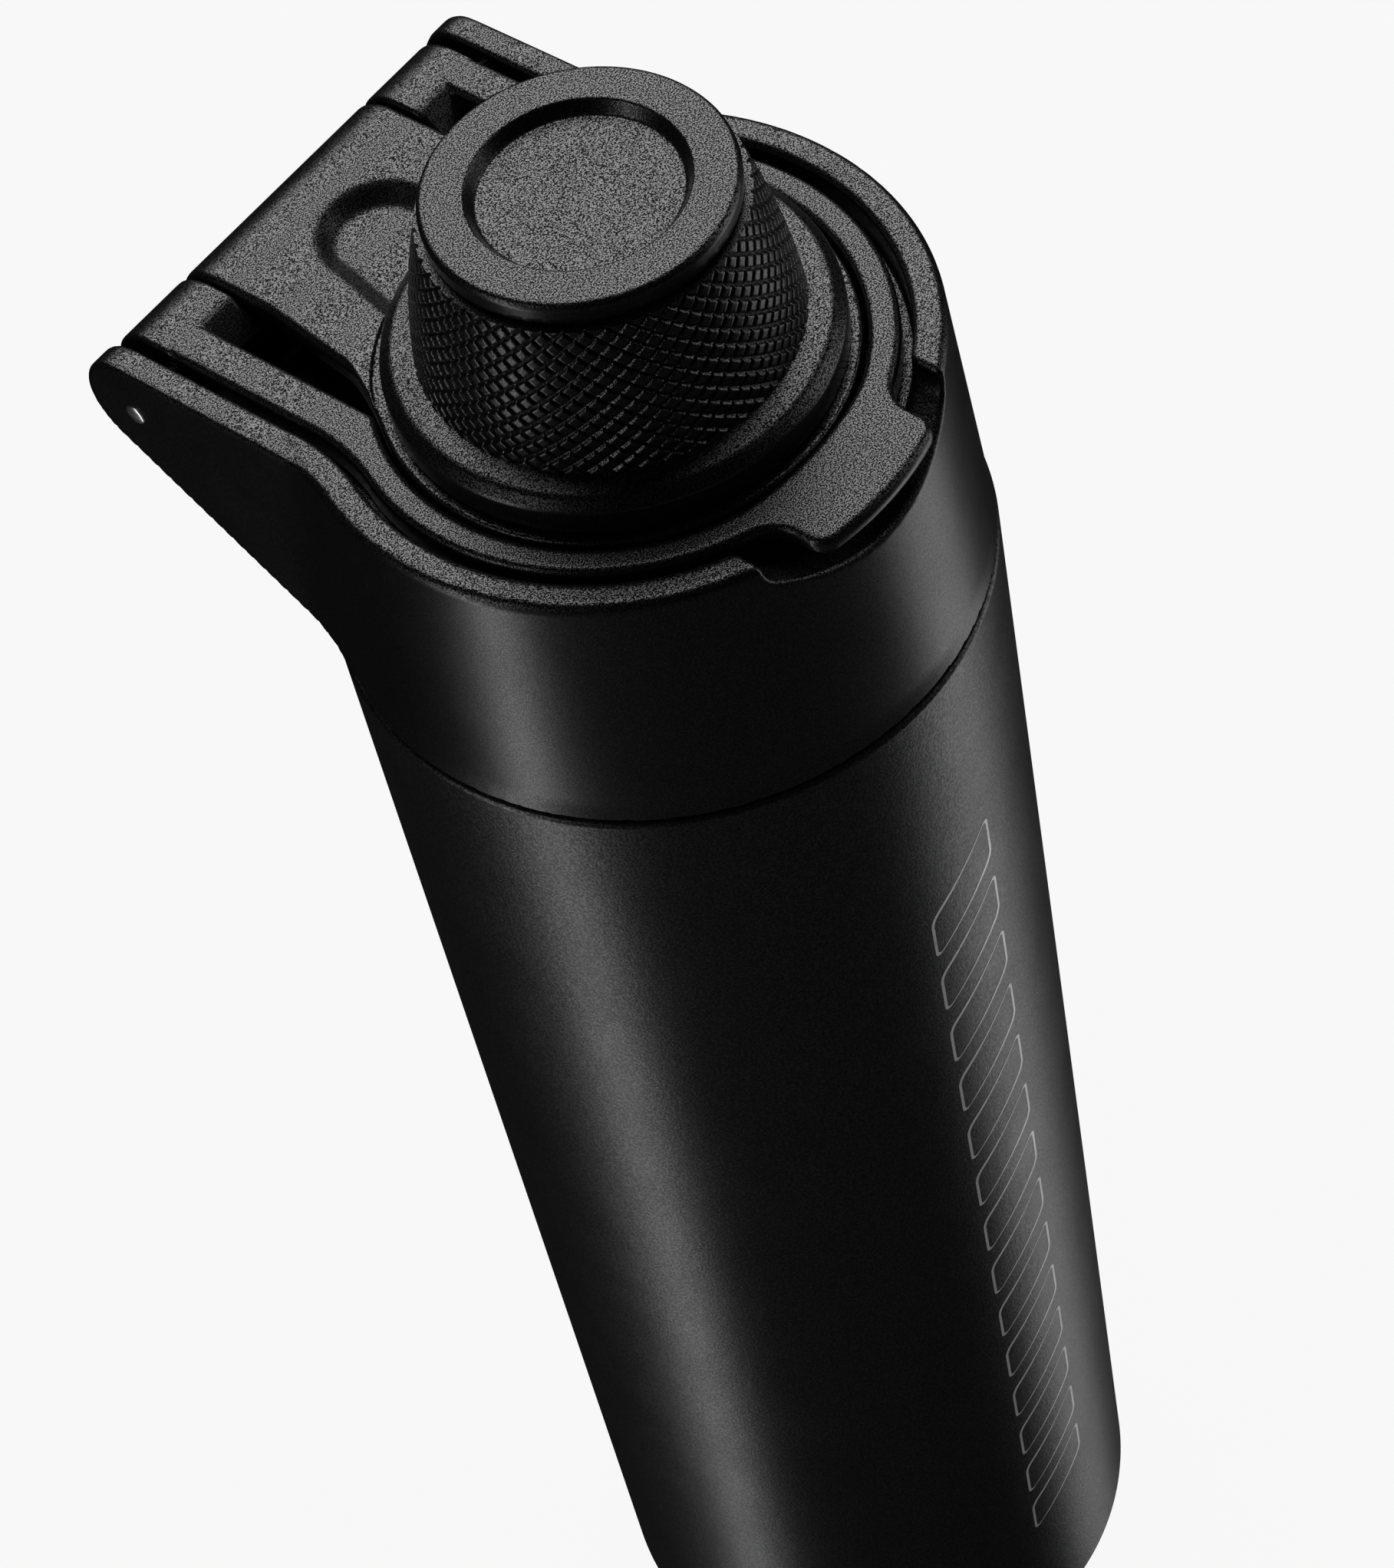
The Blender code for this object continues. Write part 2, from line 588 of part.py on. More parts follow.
loop_high = RIM_HEIGHT - LOOP_TOP
loop_low = loop_high - LOOP_THICKNESS
meet_out = math.degrees(math.acos(LOOP_ARM_OUTER / LOOP_OUTER))
meet_in = math.degrees(math.acos(LOOP_ARM_INNER / LOOP_INNER))
loop_outline = [(LOOP_ARM_OUTER, HINGE_Y),
                *arc((0.0, 0.0), LOOP_OUTER, meet_out, -180 - meet_out, 36),
                (-LOOP_ARM_OUTER, HINGE_Y), (-LOOP_ARM_INNER, HINGE_Y),
                *arc((0.0, 0.0), LOOP_INNER, -180 - meet_in, meet_in, 36),
                (LOOP_ARM_INNER, HINGE_Y)]
loop = plate("carry_loop", loop_outline, loop_low, loop_high)
tab_front = LOOP_OUTER + TAB_REACH
tab_edge = -math.sqrt(tab_front ** 2 - TAB_HALF_WIDTH ** 2)
tab_half_angle = math.degrees(math.asin((TAB_HALF_WIDTH - TAB_CORNER) / tab_front))
tab_root = -LOOP_INNER - LOOP_WIDTH / 5
tab_outline = [(TAB_HALF_WIDTH, tab_root), (-TAB_HALF_WIDTH, tab_root),
               (-TAB_HALF_WIDTH, tab_edge + TAB_CORNER),
               *arc((0.0, 0.0), tab_front, 270 - tab_half_angle, 270 + tab_half_angle, 6),
               (TAB_HALF_WIDTH, tab_edge + TAB_CORNER)]
boolean(loop, plate("tab", tab_outline, loop_high - TAB_THICKNESS, loop_high), "UNION")
knuckle_inner = ARM_HALF_WIDTH + RUNNING_GAP
for side, low, high in (("right", knuckle_inner, LOOP_ARM_OUTER), ("left", -LOOP_ARM_OUTER, -knuckle_inner)):
    boolean(loop, rod("loop_knuckle_" + side, KNUCKLE_RADIUS, low, high, hinge_place, along_x=True), "UNION")
boolean(loop, rod("loop_pin_hole", HOLE_RADIUS, -BODY_RADIUS, BODY_RADIUS, hinge_place, 16, along_x=True),
        "DIFFERENCE")
add_part(loop, lid_plastic)

# ---------------------------------------------------------------- cap arm

arm_top = RIM_HEIGHT - ARM_TOP
arm_bottom = RIM_HEIGHT - ARM_BOTTOM
flare = 10                  # steps along each flare
flare_start = HINGE_Y - 2 * KNUCKLE_RADIUS
ring_meet = 45              # degrees round the ring where the flare meets it
ring_x = ARM_RING_OUTER * math.cos(math.radians(ring_meet))
ring_y = ARM_RING_OUTER * math.sin(math.radians(ring_meet))
flare_points = []
for i in range(flare + 1):
    step = i / flare
    rise = step * step
    flare_points.append((ARM_HALF_WIDTH + (ring_x - ARM_HALF_WIDTH) * rise,
                         flare_start + (ring_y - flare_start) * step))
right_side = [(ARM_HALF_WIDTH, HINGE_Y), *flare_points]
arm_outline = right_side + arc((0.0, 0.0), ARM_RING_OUTER, ring_meet, -180 - ring_meet, 30)[1:-1]
arm_outline += [(-x, y) for x, y in reversed(right_side)]
arm = plate("cap_arm", arm_outline, arm_bottom, arm_top)
seat_radius = ARM_RING_OUTER + CLEARANCE
boolean(arm, rod("arm_seat", seat_radius, RIM_HEIGHT - ARM_RING_TOP, above, steps=LID_STEPS), "DIFFERENCE")
pocket_end = HINGE_Y - POCKET_BACK - POCKET_HALF_WIDTH
pocket_outline = [*arc((0.0, pocket_end), POCKET_HALF_WIDTH, 0, 180, 10),
                  (-POCKET_HALF_WIDTH - POCKET_FLARE, ARM_BORE), (POCKET_HALF_WIDTH + POCKET_FLARE, ARM_BORE)]
boolean(arm, plate("arm_pocket", pocket_outline, arm_top - POCKET_DEPTH, above), "DIFFERENCE")
boolean(arm, rod("arm_knuckle", KNUCKLE_RADIUS, -ARM_HALF_WIDTH, ARM_HALF_WIDTH, hinge_place, along_x=True),
        "UNION")
boolean(arm, rod("arm_bore", ARM_BORE, arm_bottom - LID_WALL, above, steps=SMALL_STEPS), "DIFFERENCE")
boolean(arm, rod("arm_pin_hole", HOLE_RADIUS, -BODY_RADIUS, BODY_RADIUS, hinge_place, 16, along_x=True),
        "DIFFERENCE")
add_part(arm, lid_plastic)

# ---------------------------------------------------------------- cap

# grip: barrel that swells downwards, over a crowned flange
grip_bore_top = DISC_RADIUS - GRIP_TOP_WALL
flange_shoulder = FLANGE_BOTTOM + FLANGE_EDGE
barrel = []
for i in range(BARREL_STEPS + 1):
    drop = i / BARREL_STEPS
    spread = (1 + GRIP_BULGE) * drop - GRIP_BULGE * drop * drop
    barrel.append((GRIP_HEAD + GRIP_TAPER * spread, GRIP_TOP_Z - GRIP_HEIGHT * drop))
cap_grip = turned("cap_grip", [
    (grip_bore_top, GRIP_TOP_Z),
    *barrel,
    *[(FLANGE_RADIUS - (FLANGE_RADIUS - GRIP_FOOT) * inset, flange_shoulder + FLANGE_CROWN * up)
      for inset, up in FLANGE_SHOULDER],
    (FLANGE_RADIUS, FLANGE_BOTTOM),
    (ARM_BORE, FLANGE_BOTTOM),
    (GRIP_FOOT - GRIP_WALL, GRIP_FOOT_Z),
    (grip_bore_top, GRIP_TOP_Z - SPIGOT_LENGTH - CLEARANCE),
], LID_STEPS)
add_part(cap_grip, lid_plastic)

# disc pressed into the top of the grip, with its shallow dish
disc_low = GRIP_TOP_Z + CLEARANCE
disc_high = disc_low + DISC_HEIGHT
dish = DISC_RADIUS - DISC_RECESS_STEP
cap_disc = turned("cap_disc", [
    (0.0, disc_high - DISC_RECESS_DEPTH),
    (dish - DISC_RECESS_DEPTH / 2, disc_high - DISC_RECESS_DEPTH),
    (dish, disc_high),
    (DISC_RADIUS - RIM_EDGE, disc_high),
    (DISC_RADIUS, disc_high - RIM_EDGE),
    (DISC_RADIUS, disc_low),
    (grip_bore_top - CLEARANCE, disc_low),
    (grip_bore_top - CLEARANCE, GRIP_TOP_Z - SPIGOT_LENGTH),
    (0.0, GRIP_TOP_Z - SPIGOT_LENGTH),
], LID_STEPS, closed=False)
add_part(cap_disc, lid_plastic)

# skirt: inverted cup inside the grip, through the arm's ring, with two lugs that catch under the spout's
seal_high = SPOUT_TOP_Z + CLEARANCE + SEAL_THICKNESS
skirt_roof_low = seal_high + CLEARANCE
skirt_top = skirt_roof_low + SKIRT_ROOF
skirt_bottom = RIM_HEIGHT - SKIRT_DEPTH
cap_skirt = turned("cap_skirt", [
    (0.0, skirt_roof_low),
    (SKIRT_INNER, skirt_roof_low),
    (SKIRT_INNER, skirt_bottom),
    (SKIRT_OUTER, skirt_bottom),
    (SKIRT_OUTER, skirt_top),
    (0.0, skirt_top),
][::-1], SMALL_STEPS, closed=False)
skirt_lug_high = spout_lug_low - LUG_PLAY
skirt_lug_low = skirt_lug_high - LUG_HEIGHT
for side, middle in (("rear", math.pi / 2), ("front", -math.pi / 2)):
    lug_outline = sector(SKIRT_INNER - LUG_REACH + LUG_PLAY, SKIRT_OUTER - SKIRT_WALL / 2,
                         middle, LUG_HALF_ANGLE)
    lug = plate("skirt_lug_" + side, lug_outline, skirt_lug_low, skirt_lug_high)
    boolean(cap_skirt, lug, "UNION")
add_part(cap_skirt, inner_plastic)

cap_seal = turned("cap_seal", [
    (0.0, seal_high),
    (SKIRT_INNER - SEAL_PLAY, seal_high),
    (SKIRT_INNER - SEAL_PLAY, seal_high - SEAL_THICKNESS),
    (0.0, seal_high - SEAL_THICKNESS),
], SMALL_STEPS, closed=False)
add_part(cap_seal, silicone)

# retainer ring snapped on the skirt below the arm's ring
retainer_high = arm_bottom - CLEARANCE
cap_retainer = turned("cap_retainer", [
    (SKIRT_OUTER + CLEARANCE, retainer_high),
    (SKIRT_OUTER + CLEARANCE + RETAINER_WIDTH, retainer_high),
    (SKIRT_OUTER + CLEARANCE + RETAINER_WIDTH, retainer_high - RETAINER_THICKNESS),
    (SKIRT_OUTER + CLEARANCE, retainer_high - RETAINER_THICKNESS),
], SMALL_STEPS)
add_part(cap_retainer, inner_plastic)
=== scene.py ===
"""Looks of an insulated bottle with a screw lid, a fold-up carry loop and a quarter-turn cap on an arm."""
import itertools
import math

import bpy
import numpy as np
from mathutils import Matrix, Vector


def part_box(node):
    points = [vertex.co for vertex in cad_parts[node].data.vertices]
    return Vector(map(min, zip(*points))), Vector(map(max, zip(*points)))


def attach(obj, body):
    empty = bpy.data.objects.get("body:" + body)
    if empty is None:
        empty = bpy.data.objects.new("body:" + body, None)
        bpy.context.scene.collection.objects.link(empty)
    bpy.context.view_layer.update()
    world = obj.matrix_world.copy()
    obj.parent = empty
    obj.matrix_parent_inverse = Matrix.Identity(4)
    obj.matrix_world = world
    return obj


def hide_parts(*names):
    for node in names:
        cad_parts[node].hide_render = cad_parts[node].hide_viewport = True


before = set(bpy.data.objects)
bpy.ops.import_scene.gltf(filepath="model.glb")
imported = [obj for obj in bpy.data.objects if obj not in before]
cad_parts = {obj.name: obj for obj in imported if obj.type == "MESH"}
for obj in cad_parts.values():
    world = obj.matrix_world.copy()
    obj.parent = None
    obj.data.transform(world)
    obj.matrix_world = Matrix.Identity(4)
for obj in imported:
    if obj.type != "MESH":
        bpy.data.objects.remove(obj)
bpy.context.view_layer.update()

MM = 0.001

# ---- Studio
# Pale floor, a tall soft light on either side of the bottle, a broad one behind and a dim one in front.
# The floor lets the tall lights through to the upright wall and only shows itself to the camera,
# which looks down on the lid from the front left.

FLOOR_SIZE = 6.0
FLOOR_GAP = 0.2 * MM
PALE = (0.945, 0.945, 0.945)
FLOOR_SHADE = (0.80, 0.80, 0.80)
FLOOR_SHADOW = 0.02
ROOM_LIGHT = 0.006


def new_material(name):
    """A material with its shader and output, and the nodes and links to add to them."""
    made = bpy.data.materials.new(name)
    made.use_nodes = True
    tree = made.node_tree
    return made, tree.nodes, tree.links, tree.nodes["Principled BSDF"]


def grid_mesh(name, points, faces):
    """A smooth-shaded mesh object from points in metres."""
    mesh = bpy.data.meshes.new(name)
    mesh.from_pydata(points, [], faces)
    mesh.update()
    mesh.shade_smooth()
    obj = bpy.data.objects.new(name, mesh)
    bpy.context.scene.collection.objects.link(obj)
    return obj


half = FLOOR_SIZE / 2
floor = grid_mesh("studio_floor", [(x, y, -FLOOR_GAP) for x, y in (
    (-half, -half), (half, -half), (half, half), (-half, half))], [(0, 1, 2, 3)])
floor_paint, nodes, links, shader = new_material("pale_floor")
shader.inputs["Base Color"].default_value = (*FLOOR_SHADE, 1.0)
shader.inputs["Roughness"].default_value = 0.9
glow = nodes.new("ShaderNodeEmission")
glow.inputs["Color"].default_value = (*PALE, 1.0)
clear = nodes.new("ShaderNodeBsdfTransparent")
to_camera = nodes.new("ShaderNodeMixShader")
to_camera.inputs["Fac"].default_value = FLOOR_SHADOW
by_ray = nodes.new("ShaderNodeMixShader")
ray = nodes.new("ShaderNodeLightPath")
links.new(glow.outputs["Emission"], to_camera.inputs[1])
links.new(shader.outputs["BSDF"], to_camera.inputs[2])
links.new(ray.outputs["Is Camera Ray"], by_ray.inputs["Fac"])
links.new(clear.outputs["BSDF"], by_ray.inputs[1])
links.new(to_camera.outputs["Shader"], by_ray.inputs[2])
links.new(by_ray.outputs["Shader"], nodes["Material Output"].inputs["Surface"])
floor.data.materials.append(floor_paint)

room = bpy.data.worlds.new("studio_room")
room.use_nodes = True
bpy.context.scene.world = room
room_nodes = room.node_tree.nodes
dim = room_nodes["Background"]
dim.inputs["Color"].default_value = (1.0, 1.0, 1.0, 1.0)
dim.inputs["Strength"].default_value = ROOM_LIGHT
pale = room_nodes.new("ShaderNodeBackground")
pale.inputs["Color"].default_value = (*PALE, 1.0)
either = room_nodes.new("ShaderNodeMixShader")
room_ray = room_nodes.new("ShaderNodeLightPath")
room.node_tree.links.new(room_ray.outputs["Is Camera Ray"], either.inputs["Fac"])
room.node_tree.links.new(dim.outputs["Background"], either.inputs[1])
room.node_tree.links.new(pale.outputs["Background"], either.inputs[2])
room.node_tree.links.new(either.outputs["Shader"], room_nodes["World Output"].inputs["Surface"])


def soft_light(name, turn, distance, middle, tilt, width, height, power):
    """A soft panel turned about the bottle from the front towards +X and tilted down, both in degrees."""
    lamp = bpy.data.lights.new(name, "AREA")
    lamp.shape = "RECTANGLE"
    lamp.size = width
    lamp.size_y = height
    lamp.energy = power
    obj = bpy.data.objects.new(name, lamp)
    turn = math.radians(turn)
    obj.location = (distance * math.sin(turn), -distance * math.cos(turn), middle)
    obj.rotation_euler = (math.pi / 2 - math.radians(tilt), 0.0, turn)
    bpy.context.scene.collection.objects.link(obj)


soft_light("left_strip", -103, 1.2, -0.6, 0, 0.22, 3.6, 9.5)
soft_light("right_strip", 56, 1.2, -0.6, 0, 0.60, 3.6, 9.5)
soft_light("front_fill", -30, 1.2, -0.8, 0, 2.6, 2.4, 0.9)
soft_light("overhead_panel", 137, 0.87, 1.16, 47, 1.3, 1.1, 17)

CAMERA_PLACE = (-0.196824, -0.224453, 0.577554)
CAMERA_TURN = (35.8076, 8.0215, -51.7298)
CAMERA_LENS = 98.705
lens = bpy.data.cameras.new("view")
lens.lens = CAMERA_LENS
lens.sensor_width = 36.0
lens.clip_start = 0.01
view = bpy.data.objects.new("view", lens)
view.location = CAMERA_PLACE
view.rotation_euler = [math.radians(angle) for angle in CAMERA_TURN]
bpy.context.scene.collection.objects.link(view)
bpy.context.scene.camera = view
bpy.context.scene.view_settings.view_transform = "Standard"

# ---- Outer shell
# The bottle's deep-drawn stainless tube, turned in at the foot, with a black powder coat baked on.
# The coat levels to a faint orange peel with a fine tooth over it.

shell_low, shell_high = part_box("outer_shell")
BODY_RADIUS = shell_high.x
SHELL_TOP_EDGE = 0.6 * MM
SHELL_FOOT = 2.5 * MM
SHELL_WALL = 0.5 * MM
SHELL_LIP = 5.0 * MM
NECK_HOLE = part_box("inner_vessel")[1].x - 4.5 * MM
FINE_ROUND = 256
HOLD = 0.05 * MM


def rounded(corners, steps=6):
    """A turned profile from (radius, height, fillet) corners, each fillet an arc between two hold points."""
    points = []
    for i, (r, z, fillet) in enumerate(corners):
        here = np.array((r, z))
        if fillet == 0 or i in (0, len(corners) - 1):
            points.append(here)
            continue
        before = np.array(corners[i - 1][:2]) - here
        after = np.array(corners[i + 1][:2]) - here
        before, after = before / np.linalg.norm(before), after / np.linalg.norm(after)
        half = math.acos(max(-1.0, min(1.0, float(before @ after)))) / 2
        reach = fillet / math.tan(half)
        middle = (before + after) / np.linalg.norm(before + after)
        centre = here + middle * fillet / math.sin(half)
        start, end = here + before * reach, here + after * reach
        points.append(start + before * HOLD)
        for k in range(steps + 1):
            along = start + (end - start) * k / steps - centre
            points.append(centre + along / np.linalg.norm(along) * fillet)
        points.append(end + after * HOLD)
    return points


def turned_piece(name, profile, around=FINE_ROUND, crease=40):
    """A piece turned about the bottle's axis from a profile down its outside, with creases in degrees."""
    points, rings = [], []
    for r, z in profile:
        if r < 1e-7:
            rings.append([len(points)])
            points.append((0.0, 0.0, z))
        else:
            rings.append(list(range(len(points), len(points) + around)))
            points += [(r * math.cos(2 * math.pi * k / around), r * math.sin(2 * math.pi * k / around), z)
                       for k in range(around)]
    faces = []
    for upper, lower in zip(rings, rings[1:]):
        for k in range(around):
            n = (k + 1) % around
            if len(upper) == 1 and len(lower) == 1:
                continue
            if len(upper) == 1:
                faces.append((upper[0], lower[k], lower[n]))
            elif len(lower) == 1:
                faces.append((upper[k], lower[0], upper[n]))
            else:
                faces.append((upper[k], lower[k], lower[n], upper[n]))
    obj = grid_mesh(name, points, faces)
    obj.data.set_sharp_from_angle(angle=math.radians(crease))
    return obj


def open_group(name, inputs, outputs):
    """A shader node group with named number inputs and number outputs."""
    group = bpy.data.node_groups.new(name, "ShaderNodeTree")
    for label, value in inputs:
        socket = group.interface.new_socket(label, in_out="INPUT", socket_type="NodeSocketFloat")
        socket.default_value = value
    for label in outputs:
        group.interface.new_socket(label, in_out="OUTPUT", socket_type="NodeSocketFloat")
    return group, group.nodes.new("NodeGroupInput"), group.nodes.new("NodeGroupOutput")


def surface_grain():
    """Group: tooth of a moulded or coated surface, with its sizes in millimetres."""
    sizes = [("Grain Size", 0.2), ("Swell Size", 1.2), ("Swell Share", 0.4)]
    group, start, end = open_group("Surface Grain", sizes, ["Height", "Specks", "Patches"])
    add, link = group.nodes.new, group.links.new
    place = add("ShaderNodeTexCoord")
    scales = []
    for label in ("Grain Size", "Swell Size"):
        per_size = add("ShaderNodeMath")
        per_size.operation = "DIVIDE"
        per_size.inputs[0].default_value = 1000.0
        link(start.outputs[label], per_size.inputs[1])
        scales.append(per_size)
    fine, swell, patch = add("ShaderNodeTexNoise"), add("ShaderNodeTexNoise"), add("ShaderNodeTexNoise")
    fine.inputs["Detail"].default_value = 3.0
    swell.inputs["Detail"].default_value = 1.0
    patch.inputs["Scale"].default_value = 90.0
    patch.inputs["Detail"].default_value = 3.0
    for texture in (fine, swell, patch):
        link(place.outputs["Object"], texture.inputs["Vector"])
    link(scales[0].outputs[0], fine.inputs["Scale"])
    link(scales[1].outputs[0], swell.inputs["Scale"])
    blend = add("ShaderNodeMix")
    link(start.outputs["Swell Share"], blend.inputs["Factor"])
    link(fine.outputs["Fac"], blend.inputs["A"])
    link(swell.outputs["Fac"], blend.inputs["B"])
    specks = add("ShaderNodeMapRange")
    specks.inputs["From Min"].default_value = 0.46
    specks.inputs["From Max"].default_value = 0.58
    link(fine.outputs["Fac"], specks.inputs["Value"])
    link(blend.outputs["Result"], end.inputs["Height"])
    link(specks.outputs["Result"], end.inputs["Specks"])
    link(patch.outputs["Fac"], end.inputs["Patches"])
    return group


def painted_edge_highlight():
    """Group: mask of rounded edges for a painted highlight, a lighter colour along the lips, broken up.
    Width in metres.
    """
    group, start, end = open_group("Painted Edge Highlight", [("Width", 0.0004), ("Break Up", 0.5)], ["Edges"])
    add, link = group.nodes.new, group.links.new
    soft = add("ShaderNodeBevel")
    soft.samples = 4
    link(start.outputs["Width"], soft.inputs["Radius"])
    hard = add("ShaderNodeNewGeometry")
    same = add("ShaderNodeVectorMath")
    same.operation = "DOT_PRODUCT"
    link(soft.outputs["Normal"], same.inputs[0])
    link(hard.outputs["Normal"], same.inputs[1])
    turn_in = add("ShaderNodeMapRange")
    turn_in.inputs["From Min"].default_value = 0.985
    turn_in.inputs["From Max"].default_value = 0.80
    link(same.outputs["Value"], turn_in.inputs["Value"])
    patches = add("ShaderNodeTexNoise")
    patches.inputs["Scale"].default_value = 700.0
    patches.inputs["Detail"].default_value = 3.0
    place = add("ShaderNodeTexCoord")
    link(place.outputs["Object"], patches.inputs["Vector"])
    broken = add("ShaderNodeMapRange")
    link(start.outputs["Break Up"], broken.inputs["From Min"])
    broken.inputs["From Max"].default_value = 0.8
    broken.inputs["To Min"].default_value = 0.35
    link(patches.outputs["Fac"], broken.inputs["Value"])
    both = add("ShaderNodeMath")
    both.operation = "MULTIPLY"
    link(turn_in.outputs["Result"], both.inputs[0])
    link(broken.outputs["Result"], both.inputs[1])
    link(both.outputs[0], end.inputs["Edges"])
    return group


SURFACE_GRAIN = surface_grain()
# Mask for the painted highlight along rounded edges.
PAINTED_EDGE_HIGHLIGHT = painted_edge_highlight()


def grained_finish(name, dark, light, rough, rough_spread, grain, swell, swell_share, tooth,
                   glint=0.0, wall_grain=1.0, edge_highlight_lift=0.25, edge_width=0.0004):
    """A coated or moulded finish: tooth in metres, wall_grain the share of it kept on upright walls, and a
    painted highlight lightening the edges.
    """
    made, nodes, links, shader = new_material(name)
    surface = nodes.new("ShaderNodeGroup")
    surface.node_tree = SURFACE_GRAIN
    surface.inputs["Grain Size"].default_value = grain
    surface.inputs["Swell Size"].default_value = swell
    surface.inputs["Swell Share"].default_value = swell_share
    tint = nodes.new("ShaderNodeMix")
    tint.data_type = "RGBA"
    tint.inputs["A"].default_value = (*dark, 1.0)
    tint.inputs["B"].default_value = (*light, 1.0)
    links.new(surface.outputs["Specks"], tint.inputs["Factor"])
    # Painted highlight: the base colour is lifted lighter along the edge mask, standing in for light caught
    # on the rounded lips.
    highlight_edges = nodes.new("ShaderNodeGroup")
    highlight_edges.node_tree = PAINTED_EDGE_HIGHLIGHT
    highlight_edges.inputs["Width"].default_value = edge_width
    highlight_tint = nodes.new("ShaderNodeMix")
    highlight_tint.data_type = "RGBA"
    highlight_tint.inputs["B"].default_value = (*[channel + edge_highlight_lift * 0.2 for channel in light], 1.0)
    links.new(highlight_edges.outputs["Edges"], highlight_tint.inputs["Factor"])
    links.new(tint.outputs["Result"], highlight_tint.inputs["A"])
    links.new(highlight_tint.outputs["Result"], shader.inputs["Base Color"])
    patchy = nodes.new("ShaderNodeMapRange")
    patchy.inputs["From Min"].default_value = 0.3
    patchy.inputs["From Max"].default_value = 0.7
    patchy.inputs["To Min"].default_value = rough - rough_spread
    patchy.inputs["To Max"].default_value = rough + rough_spread
    links.new(surface.outputs["Patches"], patchy.inputs["Value"])
    links.new(patchy.outputs["Result"], shader.inputs["Roughness"])
    glints = nodes.new("ShaderNodeMapRange")
    glints.inputs["To Min"].default_value = 0.5 - glint
    glints.inputs["To Max"].default_value = 0.5 + glint
    links.new(surface.outputs["Specks"], glints.inputs["Value"])
    faces_up = nodes.new("ShaderNodeMapRange")
    faces_up.inputs["From Min"].default_value = 0.3
    faces_up.inputs["From Max"].default_value = 0.8
    faces_up.inputs["To Min"].default_value = wall_grain
    own = nodes.new("ShaderNodeTexCoord")
    split = nodes.new("ShaderNodeSeparateXYZ")
    links.new(own.outputs["Normal"], split.inputs["Vector"])
    links.new(split.outputs["Z"], faces_up.inputs["Value"])
    level = nodes.new("ShaderNodeMix")
    level.inputs["A"].default_value = 0.45
    links.new(faces_up.outputs["Result"], level.inputs["Factor"])
    links.new(glints.outputs["Result"], level.inputs["B"])
    links.new(level.outputs["Result"], shader.inputs["Specular IOR Level"])
    bump = nodes.new("ShaderNodeBump")
    bump.inputs["Distance"].default_value = tooth
    links.new(faces_up.outputs["Result"], bump.inputs["Strength"])
    links.new(surface.outputs["Height"], bump.inputs["Height"])
    links.new(bump.outputs["Normal"], shader.inputs["Normal"])
    return made


powder_coat = grained_finish("black_powder_coat", (0.0070, 0.0070, 0.0072), (0.0095, 0.0095, 0.0098),
                             0.33, 0.02, 0.30, 1.1, 0.30, 0.045 * MM, glint=0.22, edge_highlight_lift=0.03)
shell = turned_piece("coated_shell", rounded([
    (NECK_HOLE, shell_high.z - SHELL_WALL, 0),
    (NECK_HOLE, shell_high.z, SHELL_WALL / 4),
    (BODY_RADIUS, shell_high.z, SHELL_TOP_EDGE),
    (BODY_RADIUS, shell_low.z, SHELL_FOOT),
    (BODY_RADIUS - SHELL_LIP, shell_low.z, SHELL_WALL / 4),
    (BODY_RADIUS - SHELL_LIP, shell_low.z + SHELL_WALL, 0),
]))
shell.data.materials.append(powder_coat)
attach(shell, "bottle")
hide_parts("outer_shell")

# ---- Engraved rules
# A plain pattern of slanted outlines up the front, burnt through the black coat by laser down to the steel.
# Each outline is a thin closed line that follows the round wall.

RULE_LINE = 0.42 * MM
RULE_WIDTH = 11.6 * MM
RULE_HEIGHT = 7.6 * MM
RULE_PITCH = 11.2 * MM
RULE_SLANT = 3.6 * MM
RULE_CORNER = 1.2 * MM
RULE_COUNT = 14
RULE_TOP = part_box("lid_collar")[1].z - 66 * MM
RULE_PROUD = 0.02 * MM
RULE_BEND = 0.6 * MM


def slanted_outline(inset, steps=5):
    """Points of a rounded slanted outline, inset from its outer line."""
    half_w, half_h = RULE_WIDTH / 2 - inset, RULE_HEIGHT / 2 - inset
    corner = RULE_CORNER - inset / 2
    points = []
    for sx, sz, first in ((1, 1, 0), (-1, 1, 90), (-1, -1, 180), (1, -1, 270)):
        for k in range(steps + 1):
            angle = math.radians(first + 90 * k / steps)
            x = sx * (half_w - corner) + corner * math.cos(angle)
            points.append((x, sz * (half_h - corner) + corner * math.sin(angle) + x / half_w * RULE_SLANT))
    return points


pairs = list(zip(slanted_outline(0), slanted_outline(RULE_LINE)))
fine_pairs = []
for here, ahead in zip(pairs, pairs[1:] + pairs[:1]):
    here, ahead = np.array(here), np.array(ahead)
    parts = max(1, math.ceil(np.linalg.norm(ahead[0] - here[0]) / RULE_BEND))
    fine_pairs += [here + (ahead - here) * k / parts for k in range(parts)]
rule_points, rule_faces = [], []
for row in range(RULE_COUNT):
    middle = RULE_TOP - RULE_HEIGHT / 2 - row * RULE_PITCH
    first = len(rule_points)
    for ends in fine_pairs:
        for x, z in ends:
            angle = x / BODY_RADIUS
            reach = BODY_RADIUS + RULE_PROUD
            rule_points.append((reach * math.sin(angle), -reach * math.cos(angle), middle + z))
    for k in range(len(fine_pairs)):
        n = (k + 1) % len(fine_pairs)
        rule_faces.append((first + 2 * k + 1, first + 2 * k, first + 2 * n, first + 2 * n + 1))
rules = grid_mesh("engraved_rules", rule_points, rule_faces)
